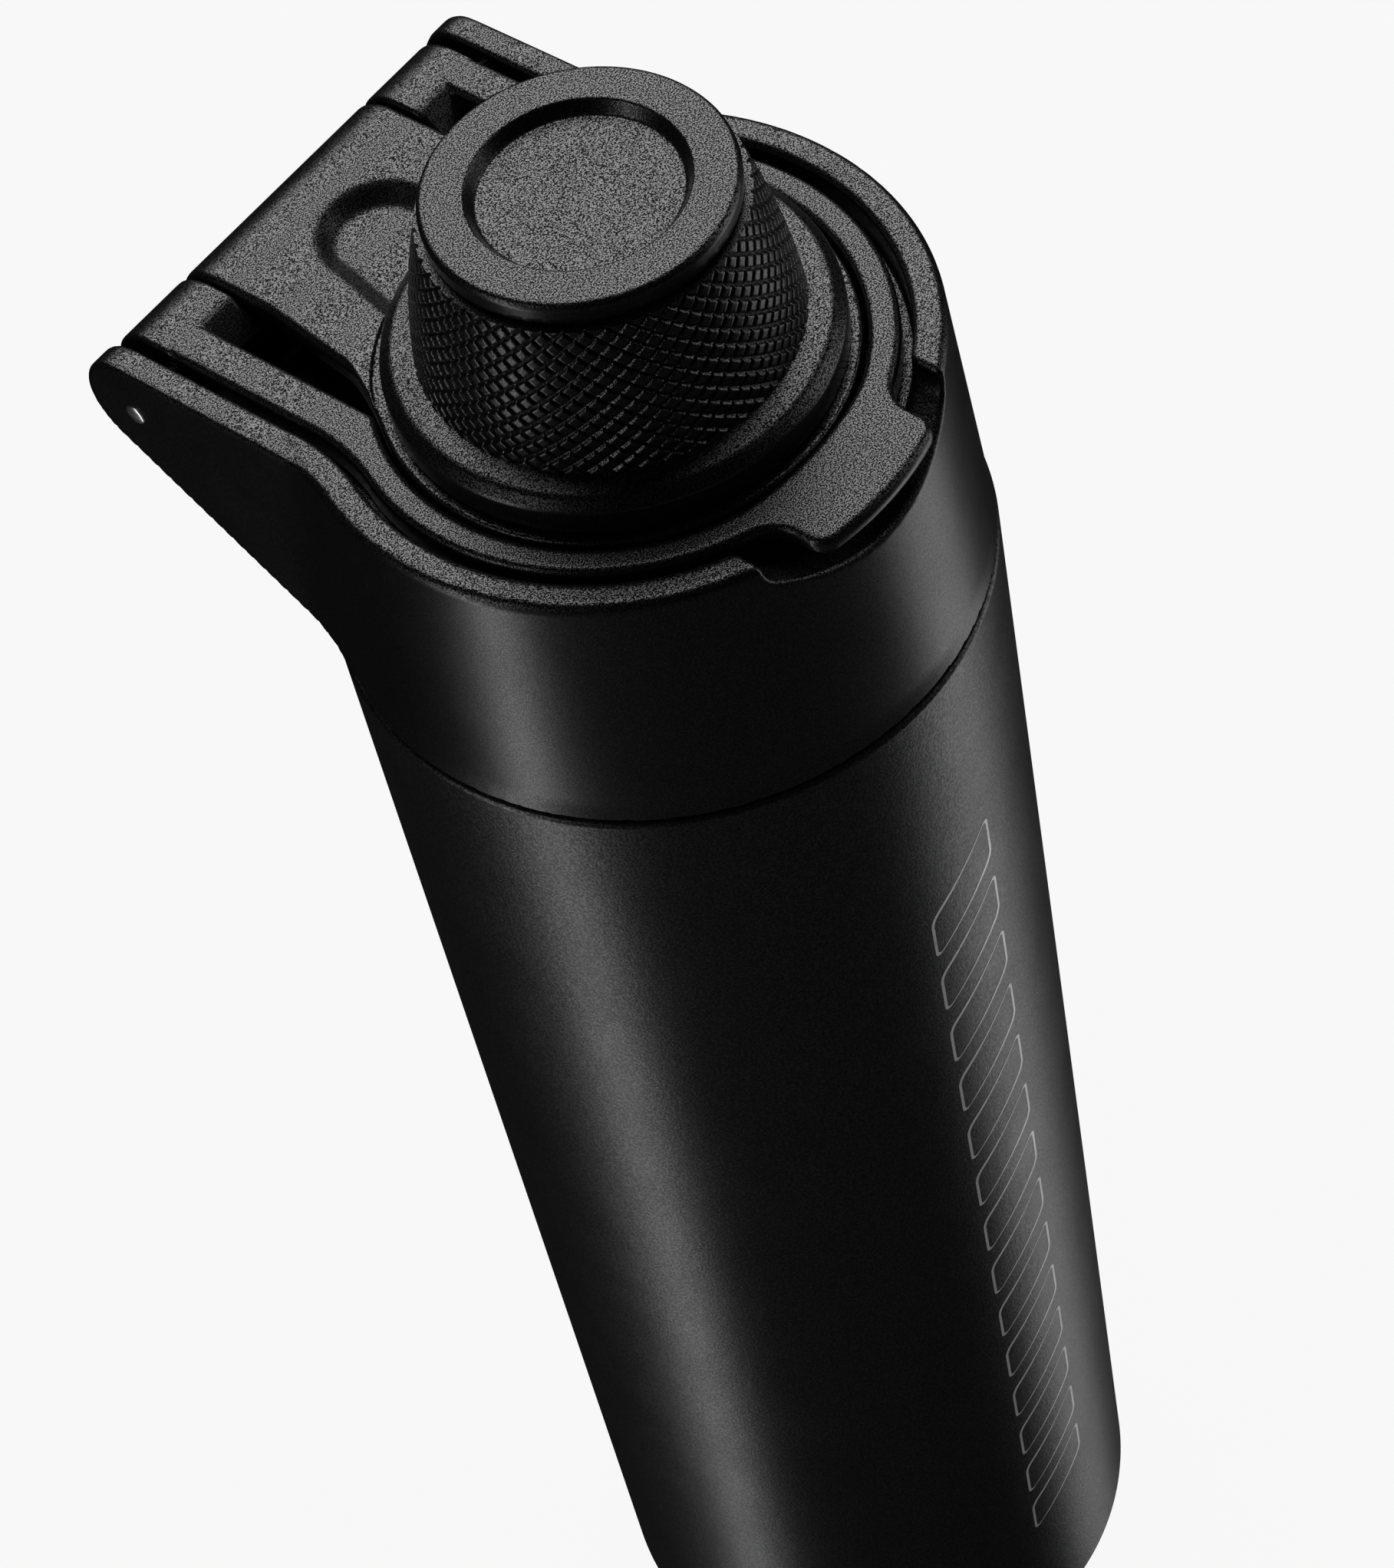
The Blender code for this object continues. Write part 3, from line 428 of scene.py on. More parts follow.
engraving = grained_finish("laser_bared_steel", (0.72, 0.72, 0.71), (0.86, 0.86, 0.85), 0.55, 0.05,
                           0.12, 0.6, 0.3, 0.02 * MM, edge_highlight_lift=0.0)
engraving.node_tree.nodes["Principled BSDF"].inputs["Metallic"].default_value = 1.0
rules.data.materials.append(engraving)
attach(rules, "bottle")

# ---- Foot pad
# A silicone disc glued in the opening of the turned-in edge.
# Rings are moulded in its underside so that the bottle doesn't slip.

pad_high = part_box("base_pad")[1]
PAD_RIBS = 7
PAD_RIB_DEPTH = 0.3 * MM
PAD_FLAT = 9.0 * MM
PAD_MARGIN = 1.0 * MM


def pad_underside():
    """Points from the pad's edge in to its middle, with a shallow round groove between ribs."""
    points, pitch = [], (pad_high.x - PAD_MARGIN - PAD_FLAT) / PAD_RIBS
    for rib in range(PAD_RIBS):
        for k in range(8):
            share = k / 8
            points.append((pad_high.x - PAD_MARGIN - (rib + share) * pitch,
                           PAD_RIB_DEPTH * (0.5 - 0.5 * math.cos(2 * math.pi * share)), 0))
    return points


silicone = grained_finish("grey_black_silicone", (0.030, 0.030, 0.032), (0.042, 0.042, 0.044), 0.62, 0.06,
                          0.15, 2.0, 0.3, 0.03 * MM, edge_highlight_lift=0.03)
pad = turned_piece("ribbed_foot_pad", rounded([
    (0, pad_high.z, 0),
    (pad_high.x, pad_high.z, 0.15 * MM),
    (pad_high.x, 0, 0.3 * MM),
    (pad_high.x - 0.8 * MM, 0, 0),
]) + [(r, z) for r, z, _ in pad_underside()] + [(PAD_FLAT, 0), (0, 0)])
pad.data.materials.append(silicone)
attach(pad, "bottle")
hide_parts("base_pad")

# ---- Steel inside the bottle
# Base plate, vacuum plug, getter capsule and inner vessel are bare stainless, drawn and spun,
# so the brushing runs round them. Copper foil is wrapped on the vessel, and its crinkles catch the light.


def brushed_steel(name, colour, rough, streak_depth):
    """Bare stainless with fine streaks round the axis."""
    made, nodes, links, shader = new_material(name)
    place = nodes.new("ShaderNodeTexCoord")
    stretch = nodes.new("ShaderNodeMapping")
    stretch.inputs["Scale"].default_value = (60.0, 60.0, 5200.0)
    streaks = nodes.new("ShaderNodeTexNoise")
    streaks.inputs["Scale"].default_value = 1.0
    streaks.inputs["Detail"].default_value = 4.0
    links.new(place.outputs["Object"], stretch.inputs["Vector"])
    links.new(stretch.outputs["Vector"], streaks.inputs["Vector"])
    tone = nodes.new("ShaderNodeMapRange")
    tone.inputs["To Min"].default_value = rough - 0.08
    tone.inputs["To Max"].default_value = rough + 0.10
    links.new(streaks.outputs["Fac"], tone.inputs["Value"])
    links.new(tone.outputs["Result"], shader.inputs["Roughness"])
    tint = nodes.new("ShaderNodeMix")
    tint.data_type = "RGBA"
    tint.inputs["A"].default_value = (*[c * 0.86 for c in colour], 1.0)
    tint.inputs["B"].default_value = (*colour, 1.0)
    links.new(streaks.outputs["Fac"], tint.inputs["Factor"])
    links.new(tint.outputs["Result"], shader.inputs["Base Color"])
    bump = nodes.new("ShaderNodeBump")
    bump.inputs["Distance"].default_value = streak_depth
    links.new(streaks.outputs["Fac"], bump.inputs["Height"])
    links.new(bump.outputs["Normal"], shader.inputs["Normal"])
    shader.inputs["Metallic"].default_value = 1.0
    return made


def crinkled_copper():
    """Thin copper foil, creased where it was wrapped."""
    made, nodes, links, shader = new_material("crinkled_copper_foil")
    place = nodes.new("ShaderNodeTexCoord")
    creases = nodes.new("ShaderNodeTexVoronoi")
    creases.inputs["Scale"].default_value = 260.0
    stain = nodes.new("ShaderNodeTexNoise")
    stain.inputs["Scale"].default_value = 120.0
    for texture in (creases, stain):
        links.new(place.outputs["Object"], texture.inputs["Vector"])
    tint = nodes.new("ShaderNodeMix")
    tint.data_type = "RGBA"
    tint.inputs["A"].default_value = (0.62, 0.30, 0.19, 1.0)
    tint.inputs["B"].default_value = (0.83, 0.46, 0.31, 1.0)
    links.new(stain.outputs["Fac"], tint.inputs["Factor"])
    links.new(tint.outputs["Result"], shader.inputs["Base Color"])
    bump = nodes.new("ShaderNodeBump")
    bump.inputs["Distance"].default_value = 0.2 * MM
    links.new(creases.outputs["Distance"], bump.inputs["Height"])
    links.new(bump.outputs["Normal"], shader.inputs["Normal"])
    shader.inputs["Metallic"].default_value = 1.0
    shader.inputs["Roughness"].default_value = 0.30
    return made


spun_steel = brushed_steel("spun_stainless", (0.62, 0.61, 0.60), 0.30, 0.02 * MM)
copper_foil = crinkled_copper()
for node, metal in (("inner_vessel", spun_steel), ("base_plate", spun_steel), ("vacuum_plug", spun_steel),
                    ("getter_capsule", spun_steel), ("foil_wrap", copper_foil)):
    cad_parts[node].data.materials.clear()
    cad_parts[node].data.materials.append(metal)

# ---- Lid insert, gasket and spout
# Smooth polypropylene: the threaded insert is welded in the lid, its gasket seals on the neck,
# and the spout stands through the deck on its own seal, with two lugs for the cap.

smooth_plastic = grained_finish("smooth_black_polypropylene", (0.022, 0.022, 0.023), (0.028, 0.028, 0.029),
                                0.34, 0.05, 0.5, 3.0, 0.7, 0.01 * MM, edge_highlight_lift=0.05)
for node, finish in (("lid_insert", smooth_plastic), ("lid_gasket", silicone), ("spout_seal", silicone)):
    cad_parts[node].data.materials.clear()
    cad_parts[node].data.materials.append(finish)

spout_low, spout_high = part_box("spout")
SPOUT_RADIUS = 11.5 * MM
SPOUT_BORE = 9.3 * MM
SPOUT_FLANGE = 2.0 * MM
SPOUT_FLANGE_RADIUS = 18.6 * MM
SPOUT_FLANGE_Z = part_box("spout_seal")[1].z + 0.3 * MM
LUG_HALF_ANGLE = 22
LUG_HEIGHT = 2.0 * MM
LUG_ROOT = 0.5 * MM
LUG_REACH = 2.7 * MM
SPOUT_LUG_TOP = spout_high.z - LUG_HEIGHT / 2


def lug_piece(name, inner, outer, low, high, middle, edge=0.25 * MM):
    """A rounded lug: a short ring sector about the middle direction in degrees."""
    section = rounded([(inner, high, 0), (outer, high, edge), (outer, low, edge), (inner, low, 0)], 4)
    points, faces, turns = [], [], 24
    for k in range(turns + 1):
        angle = math.radians(middle - LUG_HALF_ANGLE + 2 * LUG_HALF_ANGLE * k / turns)
        points += [(r * math.cos(angle), r * math.sin(angle), z) for r, z in section]
    count = len(section)
    for k in range(turns):
        for i in range(count - 1):
            faces.append((k * count + i, k * count + i + 1, (k + 1) * count + i + 1, (k + 1) * count + i))
    faces.append(tuple(range(count))[::-1])
    faces.append(tuple(turns * count + i for i in range(count)))
    obj = grid_mesh(name, points, faces)
    obj.data.set_sharp_from_angle(angle=math.radians(40))
    return obj


def joined(name, pieces):
    """Several mesh objects made one."""
    points, faces = [], []
    for piece in pieces:
        first = len(points)
        points += [tuple(corner.co) for corner in piece.data.vertices]
        faces += [tuple(first + i for i in face.vertices) for face in piece.data.polygons]
        bpy.data.objects.remove(piece)
    obj = grid_mesh(name, points, faces)
    obj.data.set_sharp_from_angle(angle=math.radians(40))
    return obj


spout_tube = turned_piece("spout_tube", rounded([
    (SPOUT_BORE, spout_low.z, 0),
    (SPOUT_BORE, spout_high.z, 1.0 * MM),
    (SPOUT_RADIUS, spout_high.z, 1.0 * MM),
    (SPOUT_RADIUS, SPOUT_FLANGE_Z + SPOUT_FLANGE, 0.6 * MM),
    (SPOUT_FLANGE_RADIUS, SPOUT_FLANGE_Z + SPOUT_FLANGE, 0.4 * MM),
    (SPOUT_FLANGE_RADIUS, SPOUT_FLANGE_Z, 0.2 * MM),
    (SPOUT_RADIUS, SPOUT_FLANGE_Z, 0.2 * MM),
    (SPOUT_RADIUS, spout_low.z, 0.2 * MM),
    (SPOUT_BORE, spout_low.z, 0),
]))
spout_lugs = [lug_piece("spout_lug", SPOUT_RADIUS - LUG_ROOT, SPOUT_RADIUS + LUG_REACH,
                        SPOUT_LUG_TOP - LUG_HEIGHT, SPOUT_LUG_TOP, middle) for middle in (0, 180)]
spout = joined("drinking_spout", [spout_tube, *spout_lugs])
spout.data.materials.append(smooth_plastic)
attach(spout, "lid")
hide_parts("spout")

# ---- Lid collar
# The lid's outer shell, injection moulded with a spark-eroded texture: rim, recess for loop and arm,
# well for the cap, finger notch, and the bracket with two ears and a round cradle for the hinge.

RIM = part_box("lid_collar")[1].z
LID_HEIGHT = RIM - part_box("lid_collar")[0].z
RIM_RADIUS = 34.0 * MM
LID_FLARE = 2.15 * MM
LID_SEAM_FLARE = 0.2 * MM
LID_SKIRT = 3.0 * MM
FLANK_X = 29.8 * MM
FLANK_ROUND = 20.0 * MM
FLANK_ROUND_X = FLANK_X + FLANK_ROUND
FLANK_ROUND_Y = math.sqrt((RIM_RADIUS + FLANK_ROUND) ** 2 - FLANK_ROUND_X ** 2)
RIM_WIDTH = 3.6 * MM
HINGE_Y = (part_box("hinge_pin")[0].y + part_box("hinge_pin")[1].y) / 2
HINGE_Z = (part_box("hinge_pin")[0].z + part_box("hinge_pin")[1].z) / 2
EAR_RADIUS = 6.9 * MM
UNDERSIDE_SLOPE = math.radians(35.5)
EAR_TILT = (RIM - HINGE_Z - EAR_RADIUS) / (HINGE_Y - FLANK_ROUND_Y)
LEDGE_DEPTH = 4.6 * MM
TROUGH_RADIUS = 7.8 * MM
EAR_INNER = FLANK_X - RIM_WIDTH
LEAF_SPACE = 20.4 * MM
LEAF_SPACE_MIDDLE = 27.0 * MM
LEAF_SPACE_HALF = 11.5 * MM
LEAF_SPACE_DEPTH = 9.5 * MM
WELL_RADIUS = 26.6 * MM
DECK_DEPTH = 14.6 * MM
DECK_WALL = 2.0 * MM
DECK_HOLE = 19.0 * MM
LID_WALL = 2.0 * MM
INSERT_SPACE = 32.1 * MM
NOTCH_HALF = 14.6 * MM
NOTCH_DEPTH = 6.9 * MM
NOTCH_RISE = 47.4 * MM
NOTCH_CORNER = 1.4 * MM
NOTCH_EDGE = 0.75 * MM
RIM_EDGE = 1.0 * MM
RECESS_CORNER = 0.5 * MM
RECESS_EDGE = 0.9 * MM
BRACKET_FILLET = 1.5 * MM
BRACKET_EDGE = 0.7 * MM
INNER_EDGE = 0.4 * MM
FINE_EDGE = 0.3 * MM


def round_meet(a, b, r):
    """Where both shapes are: the outer edge between them rounded to radius r."""
    return np.minimum(np.maximum(a, b), -r) + np.hypot(np.maximum(a + r, 0), np.maximum(b + r, 0))


def round_join(a, b, r):
    """Both shapes together: the inner corner between them filled to radius r."""
    return -round_meet(-a, -b, r)


def ease(low, high, x):
    """Smooth step from 0 at low to 1 at high."""
    t = np.clip((x - low) / (high - low), 0, 1)
    return t * t * (3 - 2 * t)


def lid_plan(x, y):
    """Distance outside the lid's outline from above: a round rim blended into straight rear flanks."""
    side = np.abs(x)
    rim = np.hypot(x, y) - RIM_RADIUS
    blend = FLANK_ROUND - np.hypot(side - FLANK_ROUND_X, y - FLANK_ROUND_Y)
    beyond = y * FLANK_ROUND_X > side * FLANK_ROUND_Y
    return np.where(beyond, np.where(y > FLANK_ROUND_Y, side - FLANK_X, blend), rim)


def lever_side(y, z, radius):
    """Distance outside a round lever end about the hinge, running forward under a slightly tilted top."""
    dy, dz = y - HINGE_Y, z - HINGE_Z
    lean = math.atan(EAR_TILT)
    top = dy * math.sin(lean) + dz * math.cos(lean) - radius
    under = dy * math.sin(UNDERSIDE_SLOPE) - dz * math.cos(UNDERSIDE_SLOPE) - radius
    turn = np.arctan2(dz, dy)
    at_end = (turn < math.pi / 2 - lean) & (turn > UNDERSIDE_SLOPE - math.pi / 2)
    return np.where(at_end, np.hypot(dy, dz) - radius, np.maximum(top, under))


def collar_shape(x, y, z):
    """Distance outside the lid collar."""
    down = RIM - z
    flare = LID_FLARE * np.clip(down / LID_HEIGHT, 0, 1)
    flare = flare + LID_SEAM_FLARE * ease(LID_HEIGHT - LID_SKIRT, LID_HEIGHT + LID_SKIRT / 4, down)
    round_wall = np.hypot(x, y) - RIM_RADIUS - flare
    plan = lid_plan(x, y)
    outline = plan - flare * (1 - ease(FLANK_ROUND_Y - 8 * MM, FLANK_ROUND_Y + 4 * MM, y))
    bracket = lever_side(y, z, EAR_RADIUS)
    body = round_meet(outline, round_join(bracket, round_wall, BRACKET_FILLET), BRACKET_EDGE)
    top = z - RIM + EAR_TILT * np.maximum(y - FLANK_ROUND_Y, 0)
    body = round_meet(body, top, RIM_EDGE)
    body = np.maximum(body, -(z - RIM + LID_HEIGHT))
    recess = round_meet(plan + RIM_WIDTH, RIM - LEDGE_DEPTH - z, RECESS_CORNER)
    body = round_meet(body, -recess, RECESS_EDGE)
    round_part = np.hypot(y - HINGE_Y, z - HINGE_Z) - TROUGH_RADIUS
    behind = HINGE_Z - TROUGH_RADIUS - z
    cradle = np.maximum(np.where(y > HINGE_Y, behind, round_part), np.abs(x) - EAR_INNER)
    body = round_meet(body, -cradle, FINE_EDGE)
    r = np.hypot(x, y)
    between = np.maximum(np.abs(x) - LEAF_SPACE, np.abs(y - LEAF_SPACE_MIDDLE) - LEAF_SPACE_HALF)
    body = round_meet(body, -np.maximum(between, RIM - LEAF_SPACE_DEPTH - z), INNER_EDGE)
    well = np.maximum(r - WELL_RADIUS, RIM - DECK_DEPTH - z)
    body = round_meet(body, -well, INNER_EDGE)
    body = round_meet(body, DECK_HOLE - r, FINE_EDGE)
    seat = np.interp(down, [DECK_DEPTH, LID_HEIGHT], [INSERT_SPACE, BODY_RADIUS - LID_WALL])
    hollow = np.maximum(r - seat, z - RIM + DECK_DEPTH + DECK_WALL)
    body = np.maximum(body, -hollow)
    floor_z = RIM - NOTCH_DEPTH + x * x / NOTCH_RISE
    notch = np.maximum(round_meet(np.abs(x) - NOTCH_HALF, floor_z - z, NOTCH_CORNER), y)
    return round_meet(body, -notch, NOTCH_EDGE)


def skin(name, shape, xs, ys, zs):
    """Mesh of a distance shape's surface, by surface nets on a grid of lines, with exact normals."""
    value = shape(*np.meshgrid(xs, ys, zs, indexing="ij"))
    inside = (value < 0).astype(np.int8)
    corners = list(itertools.product((0, 1), repeat=3))
    nx, ny, nz = (n - 1 for n in value.shape)
    count = sum(inside[i:i + nx, j:j + ny, k:k + nz] for i, j, k in corners)
    cells = np.argwhere((count > 0) & (count < 8))
    label = np.full((nx, ny, nz), -1)
    label[tuple(cells.T)] = np.arange(len(cells))
    lines = (xs, ys, zs)
    total, hits = np.zeros((len(cells), 3)), np.zeros(len(cells))
    for axis in range(3):
        for u, v in itertools.product((0, 1), repeat=2):
            start = np.insert(np.array((u, v)), axis, 0)
            end = np.insert(np.array((u, v)), axis, 1)
            a, b = cells + start, cells + end
            fa, fb = value[tuple(a.T)], value[tuple(b.T)]
            cut = (fa < 0) != (fb < 0)
            share = np.where(cut, fa / np.where(cut, fa - fb, 1), 0)
            pa = np.stack([lines[i][a[:, i]] for i in range(3)], 1)
            pb = np.stack([lines[i][b[:, i]] for i in range(3)], 1)
            total += np.where(cut[:, None], pa + (pb - pa) * share[:, None], 0)
            hits += cut
    points = total / hits[:, None]

    def slope(p, h=0.02 * MM):
        rise = []
        for i in range(3):
            off = np.zeros(3)
            off[i] = h
            rise.append((shape(*(p + off).T) - shape(*(p - off).T)) / (2 * h))
        return np.stack(rise, 1)

    most = 0.4 * float(np.min(np.diff(xs)))
    for _ in range(3):
        g = slope(points)
        step = shape(*points.T)[:, None] * g / np.maximum((g * g).sum(1), 0.05)[:, None]
        size = np.linalg.norm(step, axis=1, keepdims=True)
        points -= step * np.minimum(1, most / np.maximum(size, 1e-12))
    faces = []
    for axis in range(3):
        u, v = [i for i in range(3) if i != axis]
        low = [slice(1, -1)] * 3
        low[axis] = slice(0, -1)
        high = [slice(1, -1)] * 3
        high[axis] = slice(1, None)
        before, after = inside[tuple(low)], inside[tuple(high)]
        edge = np.argwhere(before != after)
        place = edge + np.array([0 if i == axis else 1 for i in range(3)])
        ring = []
        for du, dv in ((-1, -1), (0, -1), (0, 0), (-1, 0)):
            cell = place.copy()
            cell[:, u] += du
            cell[:, v] += dv
            ring.append(label[tuple(cell.T)])
        quads = np.stack(ring, 1)
        leaving = before[tuple(edge.T)] == 1
        flip = leaving if axis == 1 else ~leaving
        quads[flip] = quads[flip][:, ::-1]
        faces.append(quads)
    obj = grid_mesh(name, points.tolist(), np.concatenate(faces).tolist())
    normals = slope(points)
    normals /= np.maximum(np.linalg.norm(normals, axis=1, keepdims=True), 1e-9)
    obj.data.normals_split_custom_set_from_vertices(normals.tolist())
    return obj


def grid_lines(*spans):
    """Positions along one axis from (from, to, step) spans that follow each other, in metres."""
    lines = [np.linspace(a, b, max(2, round((b - a) / step)), endpoint=False) for a, b, step in spans]
    return np.concatenate(lines + [np.array([spans[-1][1]])])


# This finish carries the strongest painted edge highlight.
lid_plastic = grained_finish("spark_grained_lid_plastic", (0.0030, 0.0030, 0.0029), (0.0060, 0.0060, 0.0058),
                             0.30, 0.02, 0.17, 0.9, 0.10, 0.035 * MM, glint=0.48, wall_grain=0.35,
                             edge_highlight_lift=0.10, edge_width=0.00035)
COARSE = 0.5
collar = skin("lid_collar_shell", collar_shape,
              grid_lines((-37 * MM, 37 * MM, COARSE * MM)),
              grid_lines((-37 * MM, HINGE_Y + 8.5 * MM, COARSE * MM)),
              grid_lines((RIM - LID_HEIGHT - 1.0 * MM, RIM - 8.5 * MM, 0.9 * MM),
                         (RIM - 8.5 * MM, RIM + 1.0 * MM, COARSE * 0.8 * MM)))
collar.data.materials.append(lid_plastic)
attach(collar, "lid")
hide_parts("lid_collar")

# ---- Hinge pin
# A turned stainless pin pressed through both ears, on which the loop and the arm swing.
# Its ends are slightly domed and show in the ears.

pin_low, pin_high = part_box("hinge_pin")
PIN_RADIUS = (pin_high.z - pin_low.z) / 2
PIN_DOME = 0.25 * MM


def cross_pin(name, radius, low, high, dome, around=48):
    """A round pin along X with domed ends."""
    points, faces, rings = [], [], []
    steps = [math.pi / 2 * k / 8 for k in range(9)]
    end = [(radius * math.sin(angle), dome * math.cos(angle)) for angle in steps]
    stations = [(low + dome - out, r) for r, out in end] + [(high - dome + out, r) for r, out in end[::-1]]
    for x, r in stations:
        if r < 1e-7:
            rings.append([len(points)])
            points.append((x, HINGE_Y, HINGE_Z))
        else:
            rings.append(list(range(len(points), len(points) + around)))
            points += [(x, HINGE_Y + r * math.cos(2 * math.pi * k / around),
                        HINGE_Z + r * math.sin(2 * math.pi * k / around)) for k in range(around)]
    for a, b in zip(rings, rings[1:]):
        for k in range(around):
            n = (k + 1) % around
            if len(a) == 1:
                faces.append((a[0], b[n], b[k]))
            elif len(b) == 1:
                faces.append((a[k], a[n], b[0]))
            else:
                faces.append((a[k], a[n], b[n], b[k]))
    return grid_mesh(name, points, faces)


PIN_END = FLANK_X + 0.25 * MM
pin = cross_pin("turned_hinge_pin", PIN_RADIUS, -PIN_END, PIN_END, PIN_DOME)
pin.data.materials.append(brushed_steel("turned_pin_steel", (0.78, 0.78, 0.77), 0.28, 0.005 * MM))
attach(pin, "lid")
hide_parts("hinge_pin")

# ---- Carry loop
# A moulded finger loop round the cap. Its two arms run back to knuckles on the hinge pin,
# and a thumb tab at the front reaches over the notch in the rim.

LOOP_IN = 4.8 * MM
LOOP_INNER = 25.75 * MM
LOOP_ARM_INNER = 20.0 * MM
LOOP_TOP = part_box("carry_loop")[1].z
LOOP_THICKNESS = 4.0 * MM
KNUCKLE_RADIUS = 6.6 * MM
LOOP_KNUCKLE_INNER = 15.2 * MM
PIN_HOLE = 1.55 * MM
RAMP_Y = 40.4 * MM
TAB_HALF = 9.5 * MM
TAB_FRONT = 35.2 * MM
TAB_THICKNESS = 2.2 * MM
TAB_CORNER = 1.8 * MM
TAB_FILLET = 2.4 * MM
CRISP_EDGE = 0.1 * MM
LOOP_EDGE = 0.95 * MM
RAMP_EDGE = 0.8 * MM
KNUCKLE_EDGE = 0.6 * MM


def lever_end(y, z, slab):
    """A flat slab that ends in a round knuckle about the hinge."""
    knuckle = np.hypot(y - HINGE_Y, z - HINGE_Z) - KNUCKLE_RADIUS
    return np.where(y > HINGE_Y, knuckle, np.minimum(slab, knuckle))


def loop_shape(x, y, z):
    """Distance outside the carry loop."""
    r, side = np.hypot(x, y), np.abs(x)
    hinge = np.hypot(y - HINGE_Y, z - HINGE_Z)
    opening = np.where(y > 0, np.minimum(r - LOOP_INNER, side - LOOP_ARM_INNER), r - LOOP_INNER)
    band = round_meet(lid_plan(x, y) + LOOP_IN, -opening, CRISP_EDGE)
    top = z - LOOP_TOP + EAR_TILT * np.maximum(y - FLANK_ROUND_Y, 0)
    under = LOOP_TOP - LOOP_THICKNESS - z
    tab = round_meet(side - TAB_HALF, r - TAB_FRONT, TAB_CORNER)
    tab = round_meet(tab, y + LOOP_INNER + 0.6 * MM, CRISP_EDGE)
    plan = np.where(y < 0, round_join(band, tab, TAB_FILLET), band)
    raised = (LOOP_THICKNESS - TAB_THICKNESS) * ease(0.1 * MM, 1.4 * MM, band) * (y < 0)
    slab = lever_end(y, z, np.maximum(top, under + raised))
    ring = round_meet(plan, slab, LOOP_EDGE)
    ramp = 0.72 * (z - LOOP_TOP + 0.4 * MM - (y - RAMP_Y))
    inner_end = lever_end(y, z, np.maximum(round_meet(top, ramp, RAMP_EDGE), under))
    sides = np.maximum(LOOP_KNUCKLE_INNER - side, lid_plan(x, y) + LOOP_IN)
    knuckle = round_meet(sides, inner_end, KNUCKLE_EDGE)
    return np.maximum(np.minimum(ring, knuckle), PIN_HOLE - hinge)


FINE = 0.36
loop = skin("moulded_carry_loop", loop_shape,
            grid_lines((-30.2 * MM, 30.2 * MM, FINE * MM)),
            grid_lines((-36.4 * MM, HINGE_Y + 7.6 * MM, FINE * MM)),
            grid_lines((HINGE_Z - 7.4 * MM, LOOP_TOP + 1.0 * MM, FINE * MM)))
loop.data.materials.append(lid_plastic)
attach(loop, "loop")
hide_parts("carry_loop")

# ---- Cap arm
# A moulded leaf between the loop's arms that carries the cap: a ring round the cap's skirt, a flared plate
# with a thumb hollow, and a wide knuckle on the hinge pin.

ARM_RING = 25.3 * MM
ARM_BORE = 17.2 * MM
ARM_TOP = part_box("cap_arm")[1].z
ARM_UNDER = 3.3 * MM
ARM_RING_DROP = 0.35 * MM
ARM_HALF = 14.8 * MM
ARM_TILT = (ARM_TOP - HINGE_Z - KNUCKLE_RADIUS) / (HINGE_Y - FLANK_ROUND_Y)
ARM_FLARE = 0.13
ARM_FLARE_Y = 36.0 * MM
HOLLOW_DEPTH = 1.7 * MM
HOLLOW_REAR = 40.5 * MM
HOLLOW_ROUND = 7.7 * MM
HOLLOW_FLARE = 0.227
HOLLOW_WALL = 3.4 * MM
HOLLOW_CLEAR = 4.0 * MM
ARM_FILLET = 3.5 * MM
ARM_EDGE = 0.5 * MM
ARM_EDGE_GAIN = 0.45 * MM


def arm_shape(x, y, z):
    """Distance outside the cap arm."""
    r, side = np.hypot(x, y), np.abs(x)
    hinge = np.hypot(y - HINGE_Y, z - HINGE_Z)
    flank = side - ARM_HALF - ARM_FLARE * np.maximum(ARM_FLARE_Y - y, 0)
    leaf = np.maximum(flank, -y)
    plan = round_join(leaf, r - ARM_RING, ARM_FILLET)
    hollow_y = HOLLOW_REAR - HOLLOW_ROUND
    hollow = np.where(y > hollow_y, np.hypot(x, y - hollow_y) - HOLLOW_ROUND,
                      side - HOLLOW_ROUND - HOLLOW_FLARE * (hollow_y - y))
    clear_of_bore = ease(ARM_BORE + HOLLOW_CLEAR, ARM_BORE + HOLLOW_CLEAR + 1 * MM, r) * (y > 0)
    sunk = HOLLOW_DEPTH * ease(0, HOLLOW_WALL, -hollow) * clear_of_bore
    drop = ARM_RING_DROP * (1 - ease(ARM_RING + 0.1 * MM, ARM_RING + 0.5 * MM, r))
    tilt = ARM_TILT * np.maximum(y - FLANK_ROUND_Y, 0)
    top = (z - ARM_TOP + np.maximum(sunk, drop) + tilt) * 0.85
    slab = lever_end(y, z, np.maximum(top, ARM_TOP - ARM_UNDER - z))
    arm = round_meet(plan, slab, ARM_EDGE + ARM_EDGE_GAIN * ease(20 * MM, 24 * MM, y))
    arm = round_meet(arm, ARM_BORE - r, FINE_EDGE)
    return np.maximum(arm, PIN_HOLE - hinge)


arm = skin("moulded_cap_arm", arm_shape,
           grid_lines((-26.2 * MM, 26.2 * MM, FINE * MM)),
           grid_lines((-26.2 * MM, HINGE_Y + 7.6 * MM, FINE * MM)),
           grid_lines((HINGE_Z - 7.4 * MM, ARM_TOP + 1.0 * MM, FINE * MM)))
arm.data.materials.append(lid_plastic)
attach(arm, "arm")
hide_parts("cap_arm")

# ---- Cap grip
# The moulded knob: a crowned flange over the arm's ring, and a barrel that narrows upwards, covered in
# flat-topped diamonds with narrow grooves between them for a wet hand.

